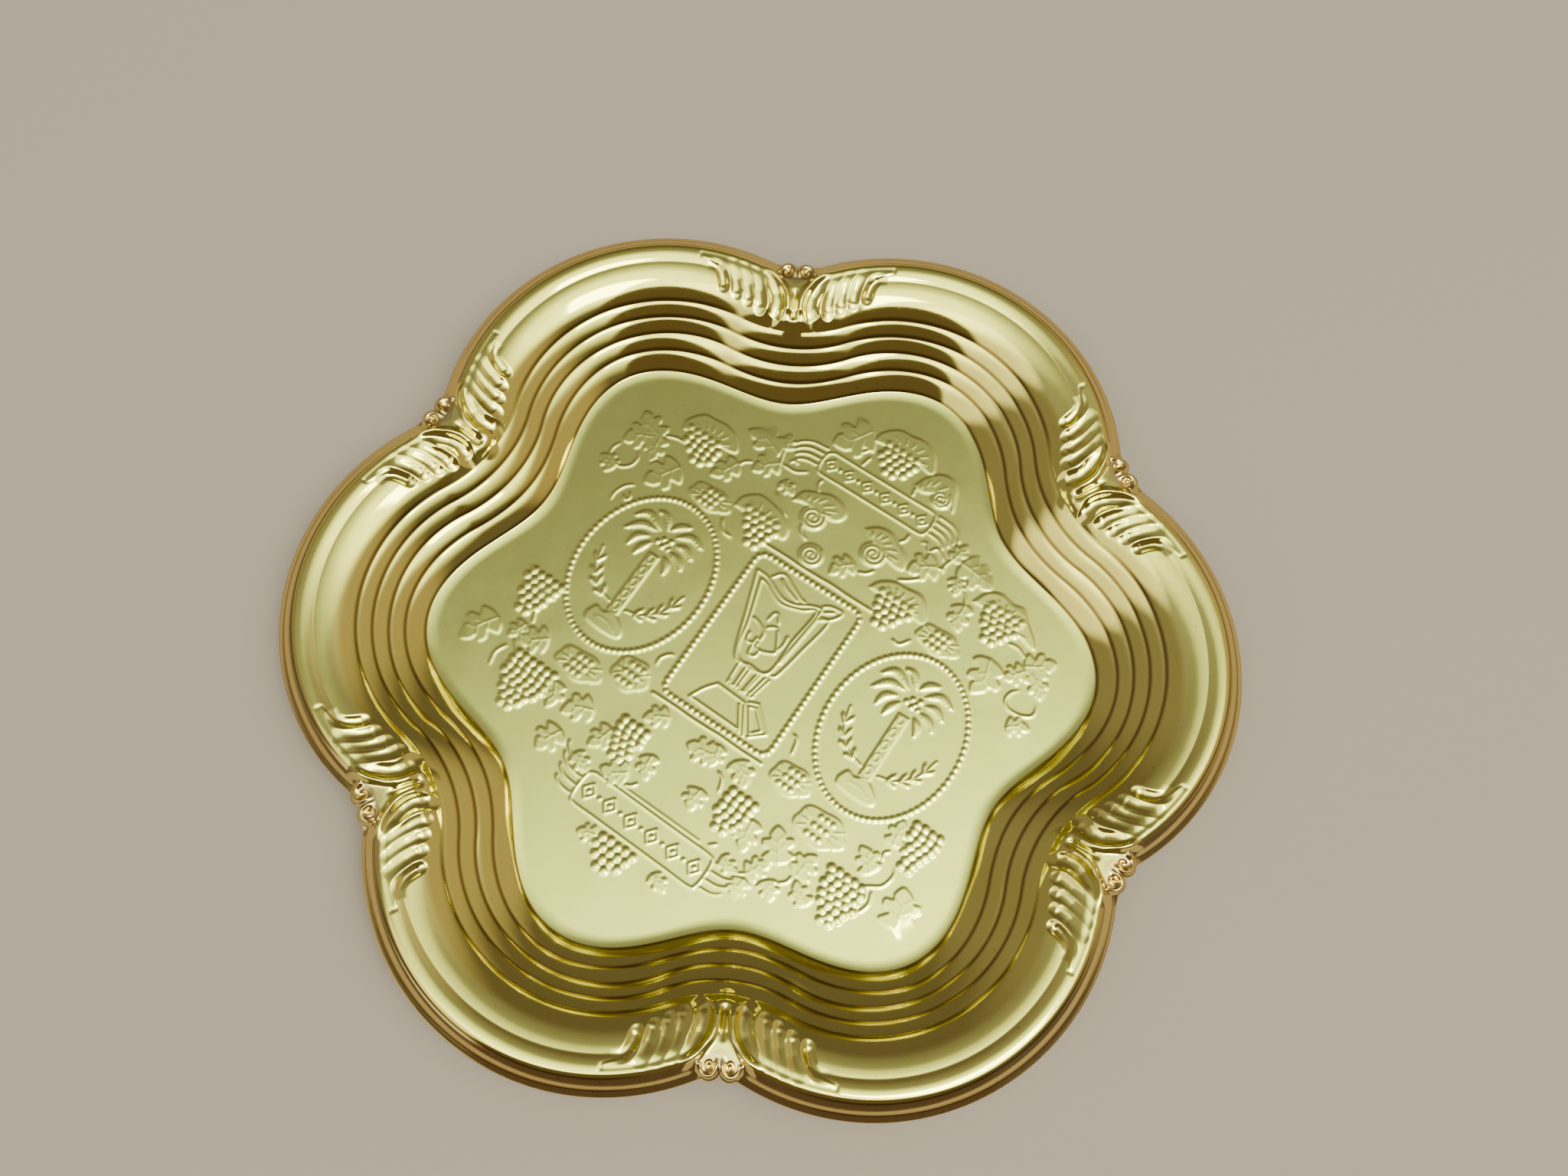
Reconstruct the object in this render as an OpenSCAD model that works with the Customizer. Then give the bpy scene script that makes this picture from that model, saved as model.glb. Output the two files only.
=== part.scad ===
// Six-lobed pressed metal serving plate: an embossed flat floor, a ribbed wall,
// a rolled rim with six ornamented cusps, and a beaded, trimmed edge.
// The floor's underside is the resting face, at z = 0, centred on the origin.
// +Y is the picture's up direction and +X runs through a cusp.

/* [Outline] */
// Radius from the centre to a lobe tip at the trimmed edge
tip_r = 105; // [98:1:112]
// Radius of each lobe's arc at the edge
lobe_r = 51.5; // [50:0.5:53]
// Radius of the wall's curve across each cusp
hollow_r = 33; // [30:1:36]
// How far the floor's hollows lie inside its own lobe tips
floor_depth = 13.7; // [12.5:0.1:14.5]

/* [Section] */
// Thickness of the sheet
sheet_t = 0.6; // [0.5:0.1:0.8]
// Height of the rim's rolls above the floor
rim_h = 15.4; // [13.4:0.2:16.4]
// How far the trimmed edge hangs below the rim's rolls
edge_drop = 3.2; // [2.4:0.2:3.6]
// How far each rounded rib stands proud of its chord
rib_bulge = 0.5; // [0.3:0.1:0.6]
// How far the inner rim roll stands proud of its chord
roll_bulge = 1.3; // [1:0.1:1.8]

/* [Cusp ornaments] */
// Half angle that one ornament takes up on each side of its cusp
leaf_angle = 13; // [12:1:15]
// Depth of the flutes in each fan
flute_depth = 0.9; // [0.5:0.1:1.2]

/* [Floor relief] */
// Height of the embossed drawing above the floor
relief_h = 0.5; // [0.3:0.1:0.8]
// Pitch of the beads round the panel and the medallions
bead_pitch = 1.5; // [1.3:0.1:2]
// Sideways place of the drawing on the floor
drawing_x = 0.8; // [0:0.2:1.6]

/* [Hidden] */
$fn = 24;
LOBES = 6;
HALF = 180 / LOBES;

// Lobe-tip section: distance in from the tip and height above the floor.
// The first five are the creases between the wall's ribs.
WALL_IN = [28.9, 25.1, 22.1, 19.1, 16.1];
WALL_UP = [0, 3.4, 6, 8.5, 11.1] * rim_h / 15.4;
ROLL_IN = [WALL_IN[4], 7.8, 3.2];
ROLL_UP = [WALL_UP[4], rim_h, rim_h - 0.4];
LIP_IN = 1.1;
FLOOR_TIP = tip_r - WALL_IN[0];

RIB_STEPS = 3;

// Angles round the outline, closer together where the cusps and curls are.
STEPS_FROM_CUSP = [0, 1.3, 2.6, 4, 7.5, 11, 14.5, 18, 22, 26, 30, 34, 38, 42, 45.5, 49, 52.5, 56, 57.4, 58.7];

// ---- outline of the lobes ----

// Every level from the second crease outwards follows arcs about the same six lobe
// centres, joined across each cusp by an arc that curves the other way.
LOBE_C = tip_r - lobe_r;
LOBE_X = LOBE_C * cos(HALF);
LOBE_Y = LOBE_C * sin(HALF);
SHARP_TIP = tip_r - ROLL_IN[1];
SHARP_R = 0.5;

// A pair of curls rounds off the edge at each cusp.
CURL_X = 90.6 * tip_r / 105;
CURL_Y = 2;
CURL_R = 2.1;

// Angle from the nearest cusp.
function from_cusp(a) = abs(a - 2 * HALF * round(a / (2 * HALF)));

function circle_r(d, r, b) = d * cos(b) + sqrt(max(r * r - pow(d * sin(b), 2), 0));

// Radius at angle t from a cusp of the level of arcs whose lobe tips are at radius tip.
function arcs_r(tip, t) =
    let (r = tip - LOBE_C,
         sharp = min(max((tip - tip_r + ROLL_IN[0]) / (SHARP_TIP - tip_r + ROLL_IN[0]), 0), 1),
         c = hollow_r + (SHARP_R - hollow_r) * sharp,
         k = LOBE_X + sqrt(pow(r + c, 2) - LOBE_Y * LOBE_Y),
         joint = atan2(LOBE_Y * c / (r + c), LOBE_X + (k - LOBE_X) * r / (r + c)))
    t < joint ? k * cos(t) - sqrt(max(c * c - pow(k * sin(t), 2), 0)) : circle_r(LOBE_C, r, HALF - t);

function wave_r(tip, t) = tip - floor_depth * (1 + cos(LOBES * t)) / 2;

// How far the curls carry the edge outwards at angle t from a cusp.
function curl_out(t) =
    let (curl = circle_r(norm([CURL_X, CURL_Y]), CURL_R, t - atan2(CURL_Y, CURL_X)))
    max(curl - arcs_r(tip_r, t), 0);

// Radius at angle a of the level whose lobe tips are at radius tip. The floor's own
// outline is a plain wave, and the wall turns from it to the arcs.
function level_r(tip, a) =
    let (t = from_cusp(a),
         arcs = min(max((tip - FLOOR_TIP) / (WALL_IN[0] - WALL_IN[2]), 0), 1),
         edge = min(max((tip - tip_r + ROLL_IN[2]) / ROLL_IN[2], 0), 1))
    (1 - arcs) * wave_r(tip, t) + arcs * arcs_r(tip, t) + edge * curl_out(t);

// ---- sections: each point is [tip radius, height above the floor] ----

function chord_point(p, q, s, bulge) =
    let (d = q - p, n = [-d[1], d[0]] / norm(d))
    p + d * s + n * bulge * 4 * s * (1 - s);

function arc_section(p, q, bulge, steps) =
    [for (i = [0 : steps]) chord_point(p, q, i / steps, bulge)];

// The sheet's lower face: every point moved by the thickness across the sheet.
function under(section) =
    let (n = len(section) - 1)
    [for (i = [0 : n])
        let (d = section[min(i + 1, n)] - section[max(i - 1, 0)])
        section[i] + [d[1], -d[0]] / norm(d) * sheet_t];

// Neighbours meet on a line straight down through the sheet, so the ends go straight down.
function lower_section(section) =
    let (n = len(section) - 1, low = under(section))
    [for (i = [0 : n]) i == 0 || i == n ? section[i] - [0, sheet_t] : low[i]];

function closed_section(section) =
    let (low = lower_section(section))
    concat(section, [for (i = [len(low) - 1 : -1 : 0]) low[i]]);

function crease(i) = [tip_r - WALL_IN[i], WALL_UP[i]];
function roll(i) = [tip_r - ROLL_IN[i], ROLL_UP[i]];
LIP_START = [tip_r - LIP_IN, rim_h - 0.7 * edge_drop];
EDGE = [tip_r, rim_h - edge_drop];

function place(p, a) =
    let (r = level_r(p[0], a)) [r * cos(a), r * sin(a), p[1] + sheet_t];

// ---- solids swept round the outline ----

RING_ANGLES = [for (k = [0 : LOBES - 1]) for (d = STEPS_FROM_CUSP) k * 2 * HALF + d];

// A closed ring of the given closed section.
module ring(loop) {
    m = len(loop);
    n = len(RING_ANGLES);
    points = [for (a = RING_ANGLES) for (p = loop) place(p, a)];
    faces = [for (i = [0 : n - 1]) for (j = [0 : m - 1])
        let (i2 = (i + 1) % n, j2 = (j + 1) % m)
        each [[i * m + j, i * m + j2, i2 * m + j2], [i * m + j, i2 * m + j2, i2 * m + j]]];
    polyhedron(points, faces);
}

// A patch of sheet between a grid of upper points and a grid of lower points.
module sheet_patch(upper_grid, lower_grid) {
    n = len(upper_grid);
    m = len(upper_grid[0]);
    upper = [for (row = upper_grid) each row];
    lower = [for (row = lower_grid) each row];
    base = n * m;
    skin = [for (i = [0 : n - 2]) for (j = [0 : m - 2])
        let (a = i * m + j, b = a + 1, c = a + m, d = c + 1)
        each [[a, c, d], [a, d, b], [a + base, d + base, c + base], [a + base, b + base, d + base]]];
    rim_i = [for (i = [0 : n - 2]) for (j = [0, m - 1])
        let (a = i * m + j, c = a + m)
        each j == 0 ? [[a, a + base, c + base], [a, c + base, c]]
                    : [[a, c, c + base], [a, c + base, a + base]]];
    rim_j = [for (j = [0 : m - 2]) for (i = [0, n - 1])
        let (a = i * m + j, b = a + 1)
        each i == 0 ? [[a, b, b + base], [a, b + base, a + base]]
                    : [[a, a + base, b + base], [a, b + base, b]]];
    polyhedron(concat(upper, lower), concat(skin, rim_i, rim_j));
}

module wall_rib(i) {
    color("goldenrod") ring(closed_section(arc_section(crease(i), crease(i + 1), rib_bulge, RIB_STEPS)));
}

// ---- rim: two concentric rolls between the cusps ----

ROLL_STEPS = [6, 4];
RIM_SECTION = concat(
    arc_section(roll(0), roll(1), roll_bulge, ROLL_STEPS[0]),
    [for (i = [1 : ROLL_STEPS[1]]) chord_point(roll(1), roll(2), i / ROLL_STEPS[1], 0.5)]);

RIM_UNDER = lower_section(RIM_SECTION);

// One lobe's stretch of the rim, from one ornament to the next.
module rim_lobe(k) {
    first = leaf_angle + (k - 1) * 2 * HALF;
    span = 2 * HALF - 2 * leaf_angle;
    steps = 12;
    angles = [for (i = [0 : steps]) first + span * i / steps];
    color("gold") sheet_patch([for (a = angles) [for (p = RIM_SECTION) place(p, a)]],
                              [for (a = angles) [for (p = RIM_UNDER) place(p, a)]]);
}

// ---- cusp ornaments: two mirrored fans of flutes beside a smooth pad ----

PAD_ANGLE = 2.2;
FLUTES = 5;

// Flute height at angle b from the cusp and part s of the way out across the rim.
function fan(b, s) =
    let (t = (abs(b) - PAD_ANGLE) / (leaf_angle - PAD_ANGLE),
         along = sin(180 * min(max((s - 0.12) / 0.68, 0), 1)),
         phase = t * FLUTES - s * 0.8)
    t <= 0 || t >= 1 ? 0 : -flute_depth * along * (1 - cos(360 * phase)) / 2 * min(1, 5 * (1 - t));

// A row of the ornament's points along the section, b degrees from the cusp.
function fan_row(section, cusp, b) =
    let (m = len(section) - 1)
    [for (j = [0 : m]) place(section[j], cusp + b) + [0, 0, fan(b, j / m)]];

module cusp_fan(k) {
    cusp = (k - 1) * 2 * HALF;
    steps = 26;
    offsets = [for (i = [0 : steps]) leaf_angle * (2 * i / steps - 1)];
    color("gold") sheet_patch([for (b = offsets) fan_row(RIM_SECTION, cusp, b)],
                              [for (b = offsets) fan_row(RIM_UNDER, cusp, b)]);
}

// ---- edge ----

module edge_bead() {
    color("peru") ring(closed_section(arc_section(roll(2), LIP_START, 0.45, 4)));
}

module edge_lip() {
    color("khaki") ring(closed_section([LIP_START, EDGE]));
}

module floor_panel() {
    color("darkkhaki") linear_extrude(sheet_t)
        polygon([for (a = RING_ANGLES) level_r(FLOOR_TIP, a) * [cos(a), sin(a)]]);
}

// ---- floor relief ----

// Moves a drawing onto the floor's upper face.
module on_floor() {
    translate([drawing_x, 0, sheet_t]) children();
}

// A domed bead of radius r, cut flat where it stands on the floor.
module dome(r, h) {
    ball = (r * r + h * h) / (2 * h);
    intersection() {
        translate([0, 0, h - ball]) sphere(ball);
        translate([-r, -r, 0]) cube([2 * r, 2 * r, h]);
    }
}

module dome_at(x, y, r, h = relief_h) {
    translate([x, y, 0]) dome(r, h);
}

// A raised line of the given width between two points.
module stroke(p, q, w, h = relief_h) {
    d = q - p;
    translate([p[0], p[1], 0]) rotate([0, 0, atan2(d[1], d[0])])
        translate([0, -w / 2, 0]) cube([norm(d), w, h]);
}

PANEL = [14.3, 20.2];
PANEL_CORNER = 2.5;

module bead_row(p, q) {
    n = round(norm(q - p) / bead_pitch);
    for (i = [0 : n - 1])
        dome_at(p[0] + (q[0] - p[0]) * (i + 0.5) / n, p[1] + (q[1] - p[1]) * (i + 0.5) / n,
                0.4 * bead_pitch);
}

module panel_beads() {
    x = PANEL[0];
    y = PANEL[1];
    c = PANEL_CORNER;
    color("darkkhaki") on_floor() {
        for (side = [-1, 1]) {
            bead_row([-x + c, side * y], [x - c, side * y]);
            bead_row([side * x, -y + c], [side * x, y - c]);
        }
        for (sx = [-1, 1])
            for (sy = [-1, 1])
                for (a = [22.5, 67.5])
                    dome_at(sx * (x - c + c * cos(a)), sy * (y - c + c * sin(a)), 0.4 * bead_pitch);
    }
}

// Twisted rods beyond the panel's two short sides.
ROD_Y = 22;
ROD_HALF = 15.5;

module panel_rods() {
    color("darkkhaki") on_floor()
        for (side = [-1, 1])
            for (x = [-ROD_HALF : 2 : ROD_HALF])
                stroke([x, side * ROD_Y - 0.2], [x + 1.8, side * ROD_Y + 0.2], 0.7);
}

// The incense burner: a flared bowl with two horns, a stem and a trapezoid foot.
BOWL = [[-11.5, 15.5], [-4, -4], [4, -4], [5.5, 15.5], [1.5, 13], [-3, 12.8], [-7, 14]];
BOWL_SIDE = [[6.2, 15.8], [4.8, -3.4], [6, -3.4], [9.6, 17.6], [7, 14.6]];
FOOT = [[-3.5, -12], [3.8, -12], [8, -18], [-7, -18]];
FOOT_SIDE = [[4.4, -11.4], [7, -10.6], [11.5, -15], [9, -17.6]];

module frame_of(points, w) {
    linear_extrude(relief_h) difference() {
        polygon(points);
        offset(delta = -w) polygon(points);
    }
}

module burner_relief() {
    color("darkkhaki") on_floor() {
        frame_of(BOWL, 0.8);
        frame_of(BOWL_SIDE, 0.5);
        frame_of(FOOT, 0.7);
        frame_of(FOOT_SIDE, 0.5);
        for (x = [-2.5 : 1.5 : 3.5])
            stroke([x, -11.8], [x, -4.2], 0.6);
        dome_at(-3.4, 9.6, 0.7);
        linear_extrude(relief_h) polygon([[-4.2, 8.6], [-2.6, 8.6], [-1, 5.5], [-1.6, 1], [-5, 1], [-5.8, 5.5]]);
        stroke([-7.6, 7.6], [-5.9, 5.2], 0.6);
        for (x = [-5, -2.6])
            dome_at(x, -1.4, 0.9);
    }
}

// Oval medallions on each side of the panel.
MEDAL_X = 34.2;
MEDAL = [16, 20.2];

// Perimeter of an ellipse by Ramanujan's first formula.
function ellipse_length(e) =
    PI * (3 * (e[0] + e[1]) - sqrt((3 * e[0] + e[1]) * (e[0] + 3 * e[1])));

module medallion_beads(side) {
    n = round(ellipse_length(MEDAL) / bead_pitch);
    color("darkkhaki") on_floor()
        for (i = [0 : n - 1])
            dome_at(side * MEDAL_X + MEDAL[0] * cos(i * 360 / n), MEDAL[1] * sin(i * 360 / n),
                    0.4 * bead_pitch);
}

// A crescent frond that springs from the crown at angle a and droops at its tip.
module frond(a, reach) {
    steps = 6;
    function spine(s) = reach * s * [cos(a), sin(a)] - [0, reach * 0.45 * s * s];
    function width(s) = 0.9 * sin(180 * pow(s, 0.7)) + 0.08;
    linear_extrude(relief_h) polygon(concat(
        [for (i = [0 : steps]) spine(0.25 + 0.75 * i / steps) + [0, width(i / steps)]],
        [for (i = [steps : -1 : 0]) spine(0.25 + 0.75 * i / steps) - [0, width(i / steps)]]));
}

module palm(side) {
    color("darkkhaki") on_floor() translate([side * MEDAL_X, 0, 0]) {
        translate([0, 8.5, 0]) {
            for (a = [-12, 18, 48, 78, 106, 136, 166, 194])
                frond(a, 9.5);
            for (a = [210, 270, 330])
                dome_at(1.3 * cos(a), 1.3 * sin(a), 0.6);
        }
        for (y = [-9.5 : 2.4 : 5])
            dome_at(0, y, 1.1);
        for (x = [-4.2, -1.4, 1.4, 4.2])
            dome_at(x, -14 - abs(x) * 0.15, 1.5);
    }
}

// Cartouches: an obround border with a row of lozenges and ribbon lines at its ends.
module obround(length, w) {
    hull()
        for (side = [-1, 1])
            translate([side * (length - w) / 2, 0]) circle(d = w);
}

module cartouche(length, w) {
    linear_extrude(relief_h) difference() {
        obround(length, w);
        obround(length - 1.4, w - 1.4);
    }
    for (x = [-length / 2 + 4 : 3.2 : length / 2 - 3.5])
        linear_extrude(relief_h)
            polygon([[x - 1.2, 0], [x, -1.3], [x + 1.2, 0], [x, 1.3]]);
    for (side = [-1, 1])
        for (i = [0 : 3])
            stroke([side * (length / 2 + 0.3), 2.3 - 1.3 * i],
                   [side * (length / 2 + 6), 0.9 - 1.3 * i], 0.5);
}

module cartouche_upper() {
    color("darkkhaki") on_floor() translate([-1, 46.8, 0]) cartouche(31, 6.6);
}

module cartouche_lower() {
    color("darkkhaki") on_floor() translate([1, -47, 0]) cartouche(34, 6.4);
}

// A bunch of grapes that narrows downwards, rows of domes closely packed.
module bunch(place_xy, rows, r) {
    for (row = [0 : len(rows) - 1])
        for (i = [0 : rows[row] - 1])
            dome_at(place_xy[0] + (i - (rows[row] - 1) / 2) * 2.05 * r,
                    place_xy[1] - row * 1.8 * r, r);
}

// A leaf: five rounded points round a tip that lies in direction a.
module leaf(place_xy, size, a) {
    translate([place_xy[0], place_xy[1], 0]) rotate([0, 0, a])
        linear_extrude(relief_h * 0.7)
            polygon([for (t = [-180 : 15 : 165])
                size / 2 * (0.72 + 0.2 * cos(t) + 0.12 * cos(5 * t)) * [cos(t), sin(t)]]);
}

BIG_BUNCH = [4, 5, 4, 3, 2];
SMALL_BUNCH = [3, 4, 3];

module grapes_upper() {
    color("darkkhaki") on_floor() {
        for (p = [[-1.5, 58], [-40.5, 36], [40.5, 37.5], [-19, 25.5], [18.5, 26.5]])
            bunch(p, BIG_BUNCH, 0.95);
        for (p = [[-32, 26], [31.5, 26.5]])
            bunch(p, SMALL_BUNCH, 0.85);
    }
}

module grapes_lower() {
    color("darkkhaki") on_floor() {
        for (p = [[-52, -15], [51.5, -13.5], [-41, -32.5], [43.5, -33], [-13.5, -31], [16, -31], [-0.5, -54]])
            bunch(p, BIG_BUNCH, 0.95);
        for (p = [[-21.5, -19.5], [23.5, -19.5], [-32, -25], [33, -24]])
            bunch(p, SMALL_BUNCH, 0.85);
    }
}

module leaves_upper() {
    color("darkkhaki") on_floor()
        for (p = [[-1.5, 63.2, 8, 90], [-40.5, 41.2, 8, 90], [40.5, 42.6, 8, 90], [-19, 30.7, 7.5, 90],
                  [18.5, 31.7, 7.5, 90], [-53.5, 29, 9, 60], [-44.5, 22.5, 8, 70], [-32.5, 34, 6, 60],
                  [-27.5, 41, 8, 30], [33, 34, 6, 120], [43, 22.5, 8, 110], [53, 30.5, 9, 120],
                  [27.5, 43, 8, 150]])
            leaf([p[0], p[1]], p[2], p[3]);
}

module leaves_lower() {
    color("darkkhaki") on_floor()
        for (p = [[-56, -33, 8, 240], [-45.5, -26.5, 6.5, 200], [-27, -35, 8, 250], [-33, -43.5, 7, 200],
                  [27.5, -33.5, 7.5, 280], [35, -36.5, 6.5, 300], [46.5, -25.5, 6.5, 330],
                  [57.5, -30.5, 8, 300], [30.5, -43.5, 7, 320], [6, -27, 7, 60], [-2.5, -37.5, 6.5, 250],
                  [7.5, -38, 6.5, 290]])
            leaf([p[0], p[1]], p[2], p[3]);
}

// Roses: a centre dome inside two rings of petals.
module rose(x, y, size) {
    dome_at(x, y, size * 0.13);
    for (a = [0 : 72 : 359])
        dome_at(x + size * 0.29 * cos(a), y + size * 0.29 * sin(a), size * 0.145);
}

module rose_sprays() {
    color("darkkhaki") on_floor() {
        for (x = [-9.5, 8.5])
            rose(x, 36.5, 10);
        rose(-4.5, 27, 5.5);
        rose(4.5, 27, 5.5);
        for (x = [-12.5, 11])
            rose(x, 55.8, 7);
        for (x = [-57, 56])
            rose(x, 17.5, 6);
    }
}

floor_panel();
wall_rib(0);  // wall_rib_1
wall_rib(1);  // wall_rib_2
wall_rib(2);  // wall_rib_3
wall_rib(3);  // wall_rib_4
rim_lobe(1);  // rim_lobe_1
rim_lobe(2);  // rim_lobe_2
rim_lobe(3);  // rim_lobe_3
rim_lobe(4);  // rim_lobe_4
rim_lobe(5);  // rim_lobe_5
rim_lobe(6);  // rim_lobe_6
cusp_fan(1);  // cusp_fan_1
cusp_fan(2);  // cusp_fan_2
cusp_fan(3);  // cusp_fan_3
cusp_fan(4);  // cusp_fan_4
cusp_fan(5);  // cusp_fan_5
cusp_fan(6);  // cusp_fan_6
edge_bead();
edge_lip();
panel_beads();
panel_rods();
burner_relief();
medallion_beads(-1);  // medallion_beads_left
medallion_beads(1);  // medallion_beads_right
palm(-1);  // palm_left
palm(1);  // palm_right
cartouche_upper();
cartouche_lower();
grapes_upper();
grapes_lower();
leaves_upper();
leaves_lower();
rose_sprays();
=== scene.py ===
"""Looks of a six-lobed pressed serving plate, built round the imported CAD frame.

Lengths are in millimetres until a mesh is made. The sheet's upper and lower faces are
heights over (x, y), so neighbouring pieces meet exactly and share their normals.
"""

import math

import bpy
import numpy as np
from mathutils import Matrix, Vector
from mathutils.geometry import delaunay_2d_cdt


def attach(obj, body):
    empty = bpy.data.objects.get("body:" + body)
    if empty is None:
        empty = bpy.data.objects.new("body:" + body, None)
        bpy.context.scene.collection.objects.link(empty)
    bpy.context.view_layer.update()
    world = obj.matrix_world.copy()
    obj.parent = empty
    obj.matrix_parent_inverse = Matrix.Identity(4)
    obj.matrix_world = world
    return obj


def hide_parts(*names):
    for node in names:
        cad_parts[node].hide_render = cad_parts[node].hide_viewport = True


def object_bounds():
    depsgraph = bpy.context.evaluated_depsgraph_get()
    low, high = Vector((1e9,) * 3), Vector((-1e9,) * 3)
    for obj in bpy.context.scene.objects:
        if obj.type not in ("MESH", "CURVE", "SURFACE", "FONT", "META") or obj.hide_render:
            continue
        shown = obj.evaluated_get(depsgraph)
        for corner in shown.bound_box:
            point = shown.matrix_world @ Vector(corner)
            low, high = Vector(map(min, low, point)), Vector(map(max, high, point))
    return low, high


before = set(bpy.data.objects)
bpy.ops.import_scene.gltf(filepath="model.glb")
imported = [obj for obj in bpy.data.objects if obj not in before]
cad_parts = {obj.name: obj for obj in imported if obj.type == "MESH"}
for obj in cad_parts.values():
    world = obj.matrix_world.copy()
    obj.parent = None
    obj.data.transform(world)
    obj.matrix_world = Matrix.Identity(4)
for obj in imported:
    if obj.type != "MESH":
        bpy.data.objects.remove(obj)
CAD_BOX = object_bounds()

MM = 0.001
# Thickness of the metal.
SHEET = 0.6
LOBES = 6
PITCH_DEG = 60.0
# A lobe's trimmed edge is an arc of radius LOBE_R whose centre is LOBE_C out from the middle.
TIP_R = 105.0
LOBE_R = 51.5
LOBE_C = TIP_R - LOBE_R
LOBE_X = LOBE_C * math.cos(math.radians(30))
LOBE_Y = LOBE_C * math.sin(math.radians(30))
# Radius of the arc across a cusp, at the wall's top and from the rolls' crease outwards.
HOLLOW_R, SHARP_R = 33.0, 0.5
# How much further in the floor's outline is at a cusp than at a lobe's tip.
FLOOR_DEPTH = 13.7
# A level is told by the radius of its lobe tips: below each rib and the rim, between the two rolls,
# and on each side of the bead.
CREASES = [76.1, 79.9, 82.9, 85.9, 88.9]
ROLL_CREASE = 97.2
BEAD_IN, BEAD_OUT = 101.8, 103.9
# Painted shade in the grooves, as brown lines: the level just above each crease, and half the line's width.
GROOVE_SHADE_LINES = [(at, 0.26) for at in (76.3, 80.15, 83.15, 86.15, 89.15)] + [(BEAD_IN, 0.16), (BEAD_OUT, 0.16)]
# A curl at a cusp: its centre out along the cusp and across it, and its radius.
CURL = (90.6, 2.0, 2.1)
# Half the angle that a cusp's ornament takes.
LEAF_DEG = 15.5
# The levels between which tip_of searches, and how many times it halves them.
LEVEL_LO, LEVEL_HI, HALVINGS = 60.0, 112.0, 26

# Slope of the upper face in degrees against lobe-tip radius. A radius given twice is a crease.
SLOPES = [
    (60.0, 0), (73.2, 0), (76.1, 12), (76.1, 48), (76.9, 44), (78.7, 39), (79.9, 29),
    (79.9, 47), (80.5, 44), (81.9, 38), (82.9, 26), (82.9, 47), (83.5, 44), (84.9, 39), (85.9, 29),
    (85.9, 47), (86.5, 44), (87.9, 38), (88.9, 26), (88.9, 52), (89.6, 46), (91.5, 34), (93.2, 22),
    (95.6, 9), (97.2, 3), (97.2, 30), (98.4, 19), (99.4, 8), (100.1, 0), (100.8, -14), (101.8, -44),
    (101.8, -22), (102.4, -38), (103.9, -52), (103.9, -34), (105.0, -42), (106.5, -44),
]
STEP = 0.01


def smoothstep(x, lo, hi):
    t = np.clip((x - lo) / (hi - lo), 0, 1)
    return t * t * (3 - 2 * t)


def band(x, rise, fall):
    """0 before the rise and after the fall, 1 between them."""
    return smoothstep(x, *rise) * (1 - smoothstep(x, *fall))


def soften(values, sigma):
    """Values at TIPS smoothed by a Gaussian of that size, level before them and straight on after them."""
    reach = int(3.5 * sigma / STEP)
    kernel = np.exp(-0.5 * (np.arange(-reach, reach + 1) * STEP / sigma) ** 2)
    beyond = values[-1] + np.arange(1, reach + 1) * (values[-1] - values[-2])
    padded = np.concatenate([np.full(reach, values[0]), values, beyond])
    return np.convolve(padded, kernel / kernel.sum(), "valid")


def sharp_section():
    """Height of the upper face at each of TIPS, before its creases are rounded."""
    # The two points of a crease stand a hair apart, because np.interp needs rising radii.
    at = np.array([s[0] for s in SLOPES]) + np.arange(len(SLOPES)) * 1e-7
    slope = np.interp(TIPS, at, [s[1] for s in SLOPES])
    return np.concatenate([[0], np.cumsum(np.tan(np.radians(slope)) * STEP)[:-1]])


def offset_down(heights):
    """Height of the lower face, the sheet's thickness away across the slope."""
    return heights - SHEET * np.sqrt(1 + np.gradient(heights, STEP) ** 2)


TIPS = np.arange(SLOPES[0][0], SLOPES[-1][0] + STEP / 2, STEP)
# How far the press rounds a crease: on the upper face, under a cusp's fan and on the lower face.
CREASE_SOFT, FAN_SOFT, UNDER_SOFT = 0.13, 1.6, 0.45
SHARP = sharp_section()
SECTION = soften(SHARP, CREASE_SOFT)
SECTION_SLOPE = np.gradient(SECTION, STEP)
FAN_SECTION = soften(SHARP, FAN_SOFT)
UNDER = offset_down(soften(SHARP, UNDER_SOFT))
UNDER_SLOPE = np.gradient(UNDER, STEP)


def section(tip, table):
    return np.interp(tip, TIPS, table)


# ---- outline: the same levels as the CAD's ----


def circle_r(d, r, b):
    """Radius of the far side of a circle, seen at angle b from its centre, which is d out."""
    return d * np.cos(b) + np.sqrt(np.maximum(r * r - (d * np.sin(b)) ** 2, 0))


def from_cusp(a):
    """Angle in degrees from the nearest cusp."""
    return np.abs((a + PITCH_DEG / 2) % PITCH_DEG - PITCH_DEG / 2)


def arcs_r(tip, t):
    """Radius of a level made of the lobes' arcs and the arcs across the cusps."""
    r = tip - LOBE_C
    c = np.interp(tip, [CREASES[-1], ROLL_CREASE], [HOLLOW_R, SHARP_R])
    k = LOBE_X + np.sqrt((r + c) ** 2 - LOBE_Y**2)
    joint = np.arctan2(LOBE_Y * c / (r + c), LOBE_X + (k - LOBE_X) * r / (r + c))
    t = np.radians(t)
    hollow = k * np.cos(t) - np.sqrt(np.maximum(c * c - (k * np.sin(t)) ** 2, 0))
    return np.where(t < joint, hollow, circle_r(LOBE_C, r, math.radians(30) - t))


def curl_out(t):
    """How far the trimmed edge swells round a cusp's curls."""
    x, y, r = CURL
    lean = math.atan2(y, x)
    bump = circle_r(math.hypot(x, y), r, np.radians(t) - lean)
    return np.maximum(bump - arcs_r(np.float64(TIP_R), t), 0)


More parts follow.
